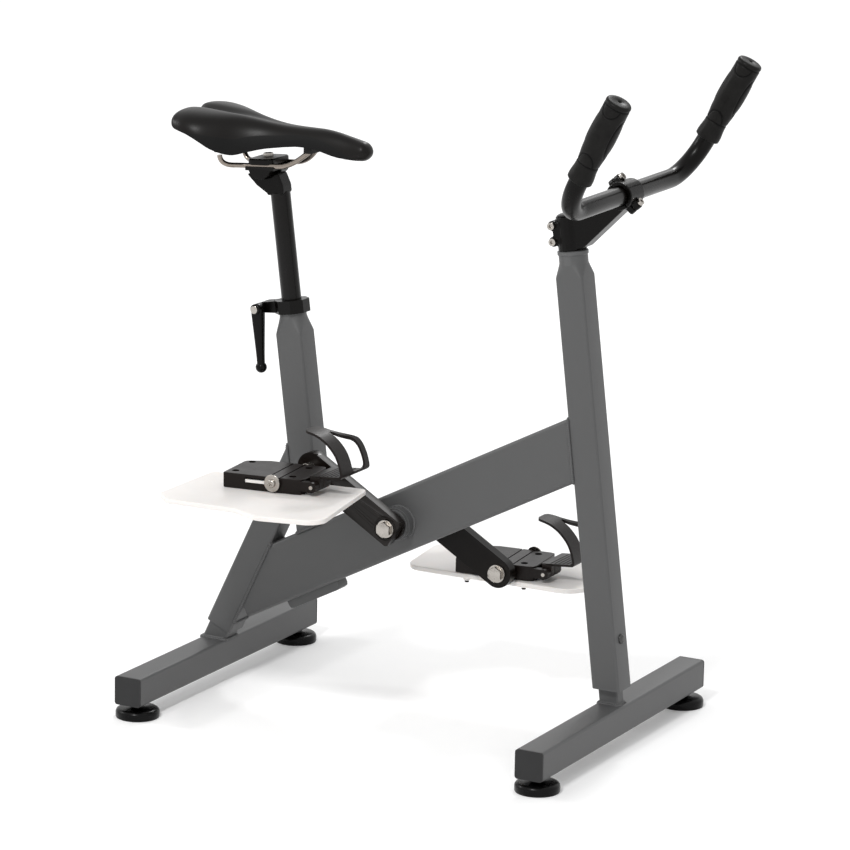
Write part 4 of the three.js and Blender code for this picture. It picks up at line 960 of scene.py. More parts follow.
class Finishes:
    """The finishes of the bike."""

    FRAME = PowderCoat("satin_grey_powder_coat", "frame_paint", (0.076, 0.0765, 0.077), 0.46)
    PLUG = MouldedPlastic("dark_tube_plug", "tube_plug", (0.028, 0.028, 0.0285), 0.5)
    FOOT = GlossPaint("levelling_foot_black", "foot_rubber", (0.0015, 0.0015, 0.0015), 0.27)
    CRANK = GlossPaint("crank_black", "crank_plastic", (0.0034, 0.0023, 0.0017), 0.3)
    PEDAL = MouldedPlastic("pedal_black", "pedal_plastic", (0.0085, 0.0062, 0.0054), 0.34)
    ALLOY = GlossPaint("gloss_black_alloy", "black_anodised", (0.0012, 0.0009, 0.0007), 0.28)
    CUP = PowderCoat("painted_bearing_cup", "bearing_cup", (0.078, 0.078, 0.079), 0.4)
    STEEL = StainlessSteel("stainless_steel", "stainless", (0.43, 0.405, 0.375), 0.24)
    DULL_STEEL = StainlessSteel("dull_bolt_steel", "stainless", (0.085, 0.084, 0.083), 0.36)
    RAIL = StainlessSteel("saddle_rail_steel", "stainless", (0.27, 0.235, 0.205), 0.22)
    NYLON = MilkyNylon("milky_nylon", "white_nylon", (0.8, 0.772, 0.748), 0.42)
    GRIP = MouldedRubber("ribbed_grip_rubber", "grip_rubber", (0.0075, 0.0072, 0.0068), 0.4)
    SHELL = MouldedPlastic("saddle_base_black", "saddle_base", (0.005, 0.005, 0.005), 0.55)
    VINYL = SaddleVinyl("saddle_vinyl", "saddle_cover", (0.0038, 0.0031, 0.0027), 0.36)


# Sub-assemblies


class Edge(Enum):
    """How wide the edges of a solid of the model are rounded."""

    BEARING = 0.0003
    TURNED = 0.0004
    SHELL = 0.0005
    MOULDED = 0.0006
    CAST = 0.0007
    TUBE = 0.0009


class SubAssembly:
    """Something that is built and dressed as one, and reports its pieces."""

    def show(self, piece: Piece, body: str, finish: Finish, replaced: Sequence[str] = ()) -> Piece:
        """Dresses a new piece and ties it to the model.

        Args:
            piece: The piece, in its place.
            body: The body of the solid model that it moves with.
            finish: Its finish.
            replaced: The nodes that it stands for.

        Returns:
            The piece.
        """
        if replaced:
            piece.name = f"detailed_{replaced[0]}"
        piece.data.materials.clear()
        piece.data.materials.append(finish.material())
        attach(piece, body)
        if replaced:
            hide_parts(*replaced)
        LOG.info("%s rides on %s, %d faces", piece.name, body, len(piece.data.polygons))
        return piece

    def paint(self, piece: Piece, finish: Finish) -> None:
        """Gives a solid of the model its finish.

        Args:
            piece: The solid.
            finish: Its finish.
        """
        if not piece.material_slots:
            piece.data.materials.append(None)
        for place in piece.material_slots:
            place.material = finish.material()
        LOG.info("%s dressed as %s", piece.name, finish.name)

    def forge(self, nodes: Nodes, name: str, finish: Finish, grain: float) -> None:
        """Gives a solid of the model its finish and the soft shape of a forging.

        Args:
            nodes: The model's nodes.
            name: The node's name.
            finish: Its finish.
            grain: The size of the faces that it is rebuilt from.
        """
        forge_faces(nodes[name], grain)
        self.paint(nodes[name], finish)

    def dress(self, nodes: Nodes, name: str, finish: Finish, edge: Edge) -> None:
        """Gives a solid of the model its finish, and rounds its edges a little.

        Args:
            nodes: The model's nodes.
            name: The node's name.
            finish: Its finish.
            edge: How wide the rounding of its edges is.
        """
        piece = nodes[name]
        weld = piece.modifiers.new("weld", "WELD")
        weld.merge_threshold = MERGE_REACH
        round_edges(piece, edge.value)
        piece.data.shade_smooth()
        weigh(piece)
        self.paint(piece, finish)


def join(piece: Piece, others: Sequence[Piece]) -> Piece:
    """Puts the meshes of other pieces into one piece and removes them.

    Args:
        piece: The piece to change.
        others: The pieces that end up in it.

    Returns:
        The piece.
    """
    work = bmesh.new()
    for source in (piece, *others):
        work.from_mesh(source.data)
    work.to_mesh(piece.data)
    work.free()
    for other in others:
        bpy.data.objects.remove(other)
    smooth(piece)
    return piece


@dataclass(frozen=True)
class WeldBead(SubAssembly):
    """A rippled weld bead, laid where a tube meets a flat face."""

    radius: float = 0.0021
    ripple: float = 0.0026
    depth: float = 0.16
    step: float = 0.0009
    sides: int = 12

    def lay(self, name: str, outline: Sequence[Vector], along: Vector, face: Vector, square: Vector) -> None:
        """Lays the bead.

        Args:
            name: The piece's name.
            outline: The tube's outline.
            along: The direction of the tube.
            face: A point of the face.
            square: The direction square to the face.
        """
        path = [p + along * ((face - p).dot(square) / along.dot(square)) for p in outline]

        def swell(length: float) -> float:
            """The bead's radius at a length along it."""
            return self.radius * (1 + self.depth * math.sin(2 * math.pi * length / self.ripple))

        bead = Form().tube(resampled(path, self.step), swell, self.sides, looped=True).build(name)
        self.show(bead, "frame", Finishes.FRAME)


@dataclass(frozen=True)
class NeckedTube:
    """Sizes of a square tube's round neck, measured along the tube.

    Attributes:
        start: Where the tube starts to narrow.
        end: Where it is round.
        top: Its upper end.
        radius: The neck's radius.
        bore: The radius of its bore.
        lip: The height of the lip round its end.
        lip_reach: How far the lip stands out.
        lip_flat: The shares of the lip's height, from its top, between which it stands out fully.
    """

    start: float
    end: float
    top: float
    radius: float
    bore: float
    lip: float
    lip_reach: float
    lip_flat: tuple[float, float] = (0.8, 0.15)

    @property
    def profile(self) -> Table:
        """The lip as a profile, from below it up and into the bore.

        Returns:
            Its radii and heights.
        """
        low, high = (self.top - share * self.lip for share in self.lip_flat)
        rim, foot = self.radius + self.lip_reach, self.top - self.lip
        return (
            (self.radius, foot), (rim, low), (rim, high),
            (self.radius, self.top), (self.bore, self.top), (self.bore, foot),
        )


@dataclass(frozen=True)
class MainFrame(SubAssembly):
    """Welded tube frame: two floor beams, strut, seat tube, main beam and front column."""

    tube: float = 0.040
    corner: float = 0.004
    wall: float = 0.003
    foot_bore: float = 0.012
    swage_steps: int = 14
    beam_height: float = 0.082
    beam_top: float = 0.061
    strut_stub: float = 0.033
    column_stub: tuple[float, float] = (0.028, 0.020)
    column_stub_setback: float = 0.002
    stub_outset: float = 0.003
    shell_radius: float = 0.0225
    column_foot: float = 0.0827
    column_neck: NeckedTube = NeckedTube(0.577, 0.595, 0.612, 0.0194, 0.0146, 0.0065, 0.0013)
    seat_neck: NeckedTube = NeckedTube(0.158, 0.181, 0.2015, 0.0186, 0.014, 0.004, 0.0)

    def build(self, nodes: Nodes) -> None:
        """Dresses the tubes and their fittings, and lays the welds.

        Args:
            nodes: The model's nodes.
        """
        for name in ("rear_beam", "front_beam", "rear_strut", "main_beam"):
            self.dress(nodes, name, Finishes.FRAME, Edge.TUBE)
        self.necked_tube("front_column", COLUMN, self.column_neck, Vector((0, 0, self.column_foot)), UP)
        beam_top = MAIN_BEAM.matrix @ Vector((0, 0, self.beam_height / 2 + FIT_GAP))
        self.necked_tube("seat_tube", SEAT_TUBE, self.seat_neck, beam_top, MAIN_BEAM.direction(UP))
        for name in ("rear_cap_right", "rear_cap_left", "front_cap_right", "front_cap_left"):
            self.dress(nodes, name, Finishes.PLUG, Edge.MOULDED)
        for name in ("strut_bolt", "column_bolt"):
            self.dress(nodes, name, Finishes.DULL_STEEL, Edge.TURNED)
        self.weld()

    def necked_tube(self, name: str, station: Station, neck: NeckedTube, face: Vector, square: Vector) -> None:
        """Builds an upright square tube whose top is swaged to a round neck.

        Args:
            name: The node that it stands for.
            station: Its place.
            neck: Its sizes above the station.
            face: A point of the face that its foot is cut along.
            square: The direction square to that face.
        """
        along = station.direction(UP)

        def ring(side: float, corner: float, height: float) -> list[Vector]:
            """The tube's section at a height above the station."""
            return [station.matrix @ Vector((x, y, height)) for x, y in rounded_box(side, side, corner, 8)]

        def foot(side: float, corner: float, lift: float) -> list[Vector]:
            """The section where the tube's foot meets the face, moved up the tube."""
            flat = ring(side, corner, 0.0)
            return [p + along * ((face - p).dot(square) / along.dot(square) + lift) for p in flat]

        wide, bore = self.tube, self.tube - 2 * self.wall
        rings = [foot(bore, self.corner / 2, self.foot_bore), foot(bore, self.corner / 2, 0.0)]
        rings += [foot(wide, self.corner, 0.0), foot(wide, self.corner, self.wall)]
        for k in range(self.swage_steps + 1):
            t = k / self.swage_steps
            side = lerp(wide, 2 * neck.radius, t * t * (3 - 2 * t))
            rings.append(ring(side, lerp(self.corner, side / 2, t), lerp(neck.start, neck.end, t)))
        rings += [ring(2 * radius, radius, height) for radius, height in neck.profile]
        piece = Form().loft(rings).build(name)
        self.show(piece, "frame", Finishes.FRAME, [name])

    def section(self, station: Station, depth: float, width: float, setback: float = 0.0) -> list[Vector]:
        """The outline of an upright tube at its station."""
        outline = rounded_box(depth, width, self.corner)
        return [station.matrix @ Vector((x - setback, y, 0)) for x, y in outline]

    def weld(self) -> None:
        """Lays a bead round every welded joint."""
        bead = WeldBead()
        floor_top = Vector((0, 0, self.beam_top))
        stub = self.strut_stub + self.stub_outset
        foot = self.section(STRUT, stub, stub)
        bead.lay("weld_strut_foot", foot, STRUT.direction(UP), floor_top, UP)
        depth, width = (side + self.stub_outset for side in self.column_stub)
        foot = self.section(COLUMN, depth, width, self.column_stub_setback)
        bead.lay("weld_column_foot", foot, COLUMN.direction(UP), floor_top, UP)
        half = self.tube / 2
        behind, before = Vector((-half, 0, 0)), Vector((half, 0, 0))
        top = self.section(STRUT, self.tube, self.tube)
        face = SEAT_TUBE.matrix @ behind
        bead.lay("weld_strut_top", top, STRUT.direction(UP), face, SEAT_TUBE.direction(FORWARD))
        low = self.section(SEAT_TUBE, self.tube, self.tube)
        face = MAIN_BEAM.matrix @ Vector((0, 0, self.beam_height / 2))
        bead.lay("weld_seat_tube_foot", low, SEAT_TUBE.direction(UP), face, MAIN_BEAM.direction(UP))
        cross = rounded_box(self.tube, self.beam_height, self.corner)
        ends = [MAIN_BEAM.matrix @ Vector((0, y, z)) for y, z in cross]
        along = MAIN_BEAM.direction(FORWARD)
        bead.lay("weld_beam_rear", ends, along, STRUT.matrix @ before, STRUT.direction(FORWARD))
        bead.lay("weld_beam_front", ends, along, COLUMN.matrix @ behind, COLUMN.direction(FORWARD))
        for side in Side:
            ring = [MAIN_BEAM.matrix @ Vector((x, 0, z)) for x, z in circle(self.shell_radius, WASHER_SIDES)]
            face = MAIN_BEAM.matrix @ Vector((0, side.value * half, 0))
            bead.lay(f"weld_crank_shell_{side.label}", ring, SIDEWAYS, face, SIDEWAYS)


@dataclass(frozen=True)
class LevellingFoot(SubAssembly):
    """A turned levelling foot: a domed gloss disc with its neck, and a threaded stud."""

    name: str
    x: float
    y: float
    disc: Table = (
        (0.028, 0.0), (0.0294, 0.0004), (0.030, 0.0016), (0.030, 0.0078), (0.0296, 0.0094), (0.0283, 0.0114),
        (0.0264, 0.0126), (0.024, 0.0131), (0.0115, 0.0135), (0.0096, 0.0142), (0.009, 0.0155), (0.009, 0.0207),
    )
    stud: float = 0.005
    top: float = 0.045
    pitch: float = 0.00125
    thread: float = 0.0005

    def build(self) -> None:
        """Builds the foot on its own body."""
        base = self.disc[-1][1]
        turns = round((self.top - base) / self.pitch * 2)
        stud = [(self.stud - (k % 2) * self.thread, base + k * self.pitch / 2) for k in range(turns + 1)]
        form = Form().lathe(self.disc, WIDE_SIDES).lathe(stud, STUD_SIDES)
        piece = form.build(self.name, Matrix.Translation((self.x, self.y, 0)))
        self.show(piece, self.name, Finishes.FOOT, [self.name])


@dataclass(frozen=True)
class CrankSet(SubAssembly):
    """Bearing cups, spindle, the two crank arms and the bolts and axles on them.

    Outward distances start at the bike's middle plane. Those of the axle and its collar are the left side's.

    Attributes:
        rim: The rim round an arm's recess, as how far out from the recess and how far above the arm's face.
        right_extra: How much longer the right axle and its collar are than the left ones.
        end_head: The screw in an axle's end, as radii and heights above its washer.
        end_slot: The half length and half width of the slots in it, which cross.
        end_slot_ends: Where the slots start and where their tools end, above its washer.
        end_shank: The radius and the length of its shank.
    """

    centre: Station = Station(-0.0324615, 0.2695, 0.0)
    turn: float = 31.2
    length: float = 0.135
    width: float = 0.041
    inner: float = 0.046
    thickness: float = 0.016
    overhang: float = 0.0155
    back_corner: float = 0.005
    edge: float = 0.0016
    boss: float = 0.019
    boss_inner: float = 0.041
    recess: float = 0.014
    recess_depth: float = 0.002
    rim: Table = (
        (0.0012, -0.001), (0.0012, 0.0004), (0.0015, 0.0007), (0.0024, 0.0007), (0.0027, 0.0004), (0.0027, -0.001),
    )
    washer: float = 0.0125
    washer_thickness: float = 0.0022
    washer_edge: float = 0.0004
    hex_size: float = 0.019
    hex_height: float = 0.007
    shank: float = 0.0045
    hub_shank_length: float = 0.018
    axle: float = 0.0055
    axle_end: float = 0.1588
    axle_edge: float = 0.0006
    collar: float = 0.008
    collar_end: float = 0.0695
    collar_edge: float = 0.0005
    right_extra: float = 0.0067
    end_washer: float = 0.0117
    end_head: Table = ((0.0055, 0.0), (0.0055, 0.002), (0.0049, 0.0029), (0.0037, 0.0035))
    end_slot: tuple[float, float] = (0.003, 0.0006)
    end_slot_ends: tuple[float, float] = (0.0018, 0.005)
    end_shank: tuple[float, float] = (0.0025, 0.014)

    @property
    def outer(self) -> float:
        """How far the arm's outer face is from the bike's middle plane."""
        return self.inner + self.thickness

    def arm_frame(self, side: Side) -> Matrix:
        """The axes of an arm, with X along it from the spindle."""
        turn = self.turn + (180 if side is Side.RIGHT else 0)
        return self.centre.matrix @ Matrix.Rotation(math.radians(turn), 4, "Y")

    def pedal_centre(self, side: Side) -> Vector:
        """The pedal's axis at the bike's middle plane."""
        return self.arm_frame(side) @ Vector((self.length, 0, 0))

    def build(self, nodes: Nodes) -> None:
        """Builds the crank with all that turns with it.

        Args:
            nodes: The model's nodes.
        """
        self.dress(nodes, "crank_spindle", Finishes.STEEL, Edge.TURNED)
        for side in Side:
            self.dress(nodes, f"bearing_cup_{side.label}", Finishes.CUP, Edge.MOULDED)
            self.dress(nodes, f"crank_bearing_{side.label}", Finishes.STEEL, Edge.BEARING)
            frame = self.arm_frame(side) @ side.outward
            self.arm(side, frame)
            self.hub_bolt(side, frame)
            self.pedal_axle(side, frame @ Matrix.Translation((self.length, 0, 0)))

    def arm(self, side: Side, frame: Matrix) -> None:
        """Builds a crank arm with a rim round the recess of its bolt.

        Args:
            side: The bike's side.
            frame: The arm's axes, with Z away from the bike.
        """
        half, back = self.width / 2, -self.overhang
        tip = self.length + half
        corners = [(back, -half, self.back_corner), (tip, -half, half)]
        corners += [(tip, half, half), (back, half, self.back_corner)]
        name = f"crank_arm_{side.label}"
        arm = Form().prism(rounded(corners, 20), self.inner, self.outer).build(name, frame)
        boss = Form().lathe([(self.boss, self.boss_inner), (self.boss, self.inner + OVERLAP)], WIDE_SIDES)
        floor = self.outer - self.recess_depth
        tool = Form().lathe([(self.recess, floor), (self.recess, self.outer + OVERSHOOT)], WIDE_SIDES)
        combine(arm, [boss.build("boss", frame)], "UNION")
        combine(arm, [tool.build("recess", frame)], "DIFFERENCE")
        soften(arm, self.edge)
        rim = [(self.recess + out, self.outer + rise) for out, rise in self.rim]
        ring = Form().lathe(rim, WIDE_SIDES, looped=True).build("rim", frame)
        self.show(join(arm, [ring]), "crank", Finishes.CRANK, [name])

    def hex_bolt(self, seat: float, reach: float, way: int) -> Form:
        """A hex head on a washer, pointing along Z.

        Args:
            seat: The height of the face that it is screwed down on.
            reach: How long its shank is.
            way: 1 if its head points up, -1 if it points down.

        Returns:
            The form.
        """
        top = seat + way * self.washer_thickness
        rim, edge = self.washer - self.washer_edge, way * self.washer_edge
        washer = [(rim, seat), (self.washer, seat + edge), (self.washer, top - edge), (rim, top)]
        form = Form().lathe(washer, WASHER_SIDES).hexagon(self.hex_size, top, top + way * self.hex_height)
        return form.lathe([(self.shank, seat - way * reach), (self.shank, seat)], STUD_SIDES)

    def hub_bolt(self, side: Side, frame: Matrix) -> None:
        """Builds the hex bolt that holds an arm on the spindle.

        Args:
            side: The bike's side.
            frame: The arm's axes, with Z away from the bike.
        """
        name = f"crank_hub_bolt_{side.label}"
        form = self.hex_bolt(self.outer - self.recess_depth + FIT_GAP, self.hub_shank_length, 1)
        self.show(form.build(name, frame), "crank", Finishes.STEEL, [name])

    def pedal_axle(self, side: Side, frame: Matrix) -> None:
        """Builds an axle with its hex end inside the arm, and the screw in its outer end.

        Args:
            side: The bike's side.
            frame: The arm's axes at the pedal, with Z away from the bike.
        """
        extra = self.right_extra if side is Side.RIGHT else 0.0
        start, end = self.outer + FIT_GAP, self.axle_end + extra
        form = self.hex_bolt(self.inner - FIT_GAP, self.thickness + OVERSHOOT, -1)
        collar = (self.collar, self.collar_end + extra, self.collar_edge)
        for radius, stop, edge in (collar, (self.axle, end, self.axle_edge)):
            form.lathe([(radius, start), (radius, stop - edge), (radius - edge, stop)], AXLE_SIDES)
        name = f"pedal_axle_{side.label}"
        self.show(form.build(name, frame), "crank", Finishes.STEEL, [name])
        self.end_screw(side, frame, end + FIT_GAP)

    def end_screw(self, side: Side, frame: Matrix, seat: float) -> None:
        """Builds the cross-slotted screw in an axle's outer end, with its washer.

        Args:
            side: The bike's side.
            frame: The arm's axes at the pedal, with Z away from the bike.
            seat: Where its washer lies.
        """
        name = f"axle_end_screw_{side.label}"
        top = seat + self.washer_thickness
        screw = Form().lathe([(radius, top + rise) for radius, rise in self.end_head], AXLE_SIDES).build(name, frame)
        low, high = (top + rise for rise in self.end_slot_ends)
        slots = [Form().block((-a, -b, low), (a, b, high)) for a, b in (self.end_slot, self.end_slot[::-1])]
        combine(screw, [slot.build(f"slot_{k}", frame) for k, slot in enumerate(slots)], "DIFFERENCE")
        rim, edge = self.end_washer, self.washer_edge
        washer = Form().lathe([(rim, seat), (rim, top - edge), (rim - edge, top)], WASHER_SIDES)
        radius, length = self.end_shank
        washer.lathe([(radius, seat - length), (radius, seat)], SCREW_SIDES)
        self.show(join(screw, [washer.build("washer", frame)]), "crank", Finishes.STEEL, [name])


@dataclass(frozen=True)
class ToeCage(SubAssembly):
    """The toe cage hinged at the front of a pedal block: a bent strap with a large slot.

    Places are forward of the pedal's axis, to the left of the block's middle line and above the axis.

    Attributes:
        inner_share: The least share of the thickness that the strap's inner side keeps from its outer side.
        nose: The corners of the strap's upper end, as how far forward of the tongue and in from its side.
        clear: How far to the sides of the cage and above it the cutting tools reach.
        wall_reach: Where the tool that cuts the front wall's slot starts and ends.
        wall_low: How far above the base that slot starts.
        rib_first: How far from the start of the base the first rib on it is.
        rib_size: The length, height above the base and depth of a rib.
        rib_inset: How far the ribs end from the base's right and left edges.
        pin_edge: How long the narrower ends of the hinge pin are, and by how much they are narrower.
    """

    right: float = -0.018
    left: float = 0.0575
    base_left: float = 0.045
    start: float = 0.046
    base_end: float = 0.0925
    base_top: float = 0.0075
    base_rise: float = 0.0045
    base_inset: float = 0.003
    base_clear: float = 0.02
    reach: float = 0.0955
    height: float = 0.067
    thickness: float = 0.0033
    inner_share: float = 0.97
    edge: float = 0.0009
    tongue: float = 0.036
    nose: Table = ((0.0025, 0.002), (0.0, 0.0075))
    nose_start: float = 0.007
    clear: tuple[float, float] = (0.09, 0.2)
    slot_right: float = 0.38
    wall_reach: tuple[float, float] = (0.06, 0.14)
    wall_low: float = 0.0015
    wall_corner: float = 0.007
    ribs: int = 6
    rib_first: float = 0.012
    rib_pitch: float = 0.006
    rib_size: Triple = (0.0014, 0.0006, 0.002)
    rib_inset: tuple[float, float] = (0.003, 0.004)
    fitting_edge: float = 0.0004
    hinge: tuple[float, float] = (0.055, -0.001)
    knuckle: float = 0.0073
    lugs: tuple[float, float] = (-0.0154, -0.0048)
    lug_width: float = 0.010
    pin: float = 0.003
    pin_ends: tuple[float, float] = (-0.0325, 0.0123)
    pin_edge: tuple[float, float] = (0.0006, 0.0005)
    pin_sides: int = 40

    strap_shares: Table = (
        (0.998, 0.125), (0.985, 0.25), (0.955, 0.39), (0.905, 0.54), (0.84, 0.66), (0.765, 0.765),
        (0.69, 0.84), (0.61, 0.9), (0.5, 0.95), (0.35, 0.985),
    )
    left_shares: Table = (
        (1.1, 1), (0.86, 1), (0.8, 0.93), (0.755, 0.8), (0.7, 0.66), (0.64, 0.55), (0.57, 0.48), (0.46, 0.44),
    )
    slot_shares: Table = (
        (1.1, 0.85), (0.86, 0.85), (0.795, 0.79), (0.76, 0.68), (0.72, 0.57), (0.68, 0.5), (0.62, 0.44),
    )

    def across(self, share: float) -> float:
        """The place across the strap at a share of its width from the right edge."""
        return lerp(self.right, self.left, share)

    def flowing(self, points: Table, steps: int = 5) -> Outline:
        """A smooth line through points.

        Args:
            points: The points.
            steps: How many straight pieces there are between two of them.

        Returns:
            The line's points.
        """
        made: Outline = []
        line = [Vector(p) for p in points]
        for i in range(len(line) - 1):
            p0, p1, p2, p3 = line[max(i - 1, 0)], line[i], line[i + 1], line[min(i + 2, len(line) - 1)]
            for k in range(steps):
                t = k / steps
                point = p1 + (p2 - p0) * (t / 2) + (p0 * 2 - p1 * 5 + p2 * 4 - p3) * (t * t / 2)
                point += (p1 * 3 - p0 - p2 * 3 + p3) * (t**3 / 2)
                made.append((point.x, point.y))
        made.append((line[-1].x, line[-1].y))
        return made

    def profile(self) -> Outline:
        """The strap seen from the side.

        Returns:
            Its outline, closed round its thickness.
        """
        base = [(self.start, self.base_top + FIT_GAP), (self.base_end, self.base_top + self.base_rise)]
        strap = [(x * self.reach, self.base_top + z * self.height) for x, z in self.strap_shares]
        line = [Vector(p) for p in base[:1] + self.flowing(base[1:] + strap)]
        inner = []
        for k, point in enumerate(line):
            along = (line[min(k + 1, len(line) - 1)] - line[max(k - 1, 0)]).normalized()
            offset = point + Vector((-along.y, along.x)) * self.thickness
            if min((offset - other).length for other in line) > self.inner_share * self.thickness:
                inner.append(offset)
        return [(p.x, p.y) for p in line + inner[::-1]]

    def plan(self) -> Outline:
        """What is cut off the strap beyond its left edge and its upper end, seen from above.

        Returns:
            The outline of the tool.
        """
        edge = self.flowing([(x * self.reach, self.across(y)) for x, y in self.left_shares])
        end, start, far = edge[-1][1], self.tongue + self.nose_start, self.clear[0]
        nose = [(self.tongue + ahead, end - inward) for ahead, inward in self.nose]
        nose += [(self.tongue + ahead, self.right + inward) for ahead, inward in self.nose[::-1]]
        return [*edge, *nose, (start, self.right), (start, -far), (-far, -far), (-far, far), (edge[0][0], far)]

    def tools(self, middle: float) -> list[Piece]:
        """The solids that are cut out of the bent strap.

        Args:
            middle: The height between the front wall's slot and the upper strap's.

        Returns:
            The solids.
        """
        far, high = self.clear
        right, left = self.across(self.slot_right), self.across(self.slot_shares[0][1])
        slot = self.flowing([(x * self.reach, self.across(y)) for x, y in self.slot_shares])
        slot = [(slot[0][0], right), *slot, (slot[-1][0], right)]
        low = self.base_top + self.base_rise + self.thickness + self.wall_low
        wall = [(right, low, self.wall_corner), (left, low, self.wall_corner)]
        wall += [(left, middle + FIT_GAP, 0.0), (right, middle + FIT_GAP, 0.0)]
        upended = Matrix(((0, 0, 1, 0), (1, 0, 0, 0), (0, 1, 0, 0), (0, 0, 0, 1)))
        start, end = self.start - self.base_inset, self.base_end - self.base_inset
        return [
            Form().prism(self.plan(), middle, high).build("plan"),
            Form().prism(slot, middle - FIT_GAP, high).build("slot"),
            Form().prism(rounded(wall, 8), *self.wall_reach).build("wall", upended),
            Form().block((start, self.base_left, 0), (end, far, self.base_clear)).build("side"),
        ]

    def fittings(self) -> Piece:
        """Builds the ribs on the base and the two lugs of the hinge.

        Returns:
            The two as one piece.
        """
        x, z = self.hinge
        form = Form()
        slope = (self.base_rise - FIT_GAP) / (self.base_end - self.start)
        length, rise, depth = self.rib_size
        for k in range(self.ribs):
            ahead = self.rib_first + k * self.rib_pitch
            place = self.start + ahead
            high = self.base_top + FIT_GAP + self.thickness + slope * ahead + rise
            low = (place, self.right + self.rib_inset[0], high - depth)
            form.block(low, (place + length, self.base_left - self.rib_inset[1], high))
        for lug in self.lugs:
            y0, y1 = lug - self.lug_width / 2, lug + self.lug_width / 2
            form.upright([(x + a, z + b) for a, b in circle(self.knuckle, HEAD_SIDES)], y0, y1)
            form.block((x - self.knuckle, y0, z), (x + self.knuckle, y1, self.base_top + self.thickness))
        return soften(form.build("fittings"), self.fitting_edge)

    def build(self, side: Side, frame: Matrix) -> None:
        """Builds the cage and its hinge pin.

        Args:
            side: The bike's side.
            frame: The cage's axes at the pedal's axis.
        """
        name = f"toe_cage_{side.label}"
        cage = Form().upright(self.profile(), self.right, self.left).build(name)
        combine(cage, self.tools(self.base_top + self.height / 2), "DIFFERENCE")
        soften(cage, self.edge)
        join(cage, [self.fittings()])
        cage.data.transform(frame)
        self.show(cage, f"cage_{side.label}", Finishes.PEDAL, [name])
        x, z = self.hinge
        (low, high), (edge, narrowing) = self.pin_ends, self.pin_edge
        pin = [Vector((x, y, z)) for y in (low, low + edge, high - edge, high)]

        def taper(length: float) -> float:
            """The pin's radius at a length along it, which is less at its ends."""
            at_end = length < edge / 2 or length > high - low - edge / 2
            return self.pin - (narrowing if at_end else 0)

        name = f"cage_hinge_pin_{side.label}"
        piece = Form().tube(pin, taper, self.pin_sides).build(name, frame)
        self.show(piece, f"cage_{side.label}", Finishes.STEEL, [name])


@dataclass(frozen=True)
class Pedal(SubAssembly):
    """A pedal: block on the axle, nylon foot plate under it and a toe cage in front.

    The block reaches from above its axis to below it, with the plate under it. Each bolt's head is sunk into the
    block, its shank ends under the plate, and the nut's collar is given as radii and distances under the plate.
    """

    side: Side
    offset: float
    pitch: float
    corners: Sequence[Triple]
    yaw: float = 5.5
    above: float = 0.0075
    below: float = 0.013
    plate: float = 0.007
    plate_edge: float = 0.0016
    rows: tuple[float, float] = (-0.0657, 0.018)
    columns: tuple[float, float] = (-0.0198, 0.0335)
    sink: float = 0.009
    bolt: float = 0.003
    bolt_end: float = 0.009
    head: Table = ((0.005, 0.0), (0.005, 0.0044), (0.0045, 0.005))
    socket: tuple[float, float] = (0.005, 0.0025)
    nut: float = 0.010
    nut_height: float = 0.005
    nut_collar: Table = ((0.0046, 0.005), (0.0042, 0.0062))

    def build(self, nodes: Nodes, centre: Vector) -> None:
        """Builds the pedal.

        Args:
            nodes: The model's nodes.
            centre: The pedal's axis at the bike's middle plane.
        """
        label = self.side.label
        body = f"pedal_{label}"
        pedal = Matrix.Translation(centre) @ Matrix.Rotation(math.radians(self.pitch), 4, "Y")
        cage = pedal @ Matrix.Translation((0, self.offset, 0))
        block = cage @ Matrix.Rotation(math.radians(self.yaw), 4, "Z")
        self.dress(nodes, f"pedal_block_{label}", Finishes.PEDAL, Edge.CAST)
        self.dress(nodes, f"pedal_slide_{label}", Finishes.NYLON, Edge.TURNED)
        name = f"foot_plate_{label}"
        top = -self.below - FIT_GAP
        low = top - self.plate
        plate = Form().prism(rounded(self.corners, 14), low, top).build(name, pedal)
        self.show(soften(plate, self.plate_edge, 4), body, Finishes.NYLON, [name])
        bolts, nuts = self.fasteners(low)
        self.show(bolts.build(f"pedal_bolts_{label}", block), body, Finishes.PEDAL)
        self.show(nuts.build(f"pedal_nuts_{label}", block), body, Finishes.NYLON)
        ToeCage().build(self.side, cage)

    def fasteners(self, low: float) -> tuple[Form, Form]:
        """The four bolts through the block and the plate, and their nuts.

        Args:
            low: The height of the plate's underside.

        Returns:
            The bolts and the nuts.
        """
        bolts, nuts = Form(), Form()
        floor = self.above - self.sink
        shank = [(self.bolt, low - self.bolt_end), (self.bolt, floor)]
        head = [(radius, floor + rise) for radius, rise in self.head]
        collar = [(radius, low - drop) for radius, drop in self.nut_collar]
        for place in [Matrix.Translation((x, y, 0)) for x in self.rows for y in self.columns]:
            bolts.add(Form().lathe(shank, STUD_SIDES).moved(place))
            bolts.add(socket_head(head, *self.socket).moved(place))
            nuts.add(Form().hexagon(self.nut, low, low - self.nut_height).moved(place))
            nuts.add(Form().lathe(collar, STUD_SIDES).moved(place))
        return bolts, nuts


def socket_head(profile: Table, across: float, depth: float, edge: float = 0.0003) -> Form:
    """A round bolt head along Z with a hex socket in its top.

    Args:
        profile: Its radii and heights from below to above.
        across: The socket's size across flats.
        depth: How deep the socket is.
        edge: How wide the chamfer round the socket is.

    Returns:
        The form.
    """
    top = profile[-1][1]
    angles = corner_angles(HEX_STEPS)
    rings = lathe_rings(profile, HEX_STEPS)
    for extra, z in ((edge, top), (0.0, top - edge), (0.0, top - depth)):
        reaches = [hex_reach(across, t) + extra for t in angles]
        rings.append([Vector((reach * math.cos(t), reach * math.sin(t), z)) for reach, t in zip(reaches, angles)])
    return Form().loft(rings)


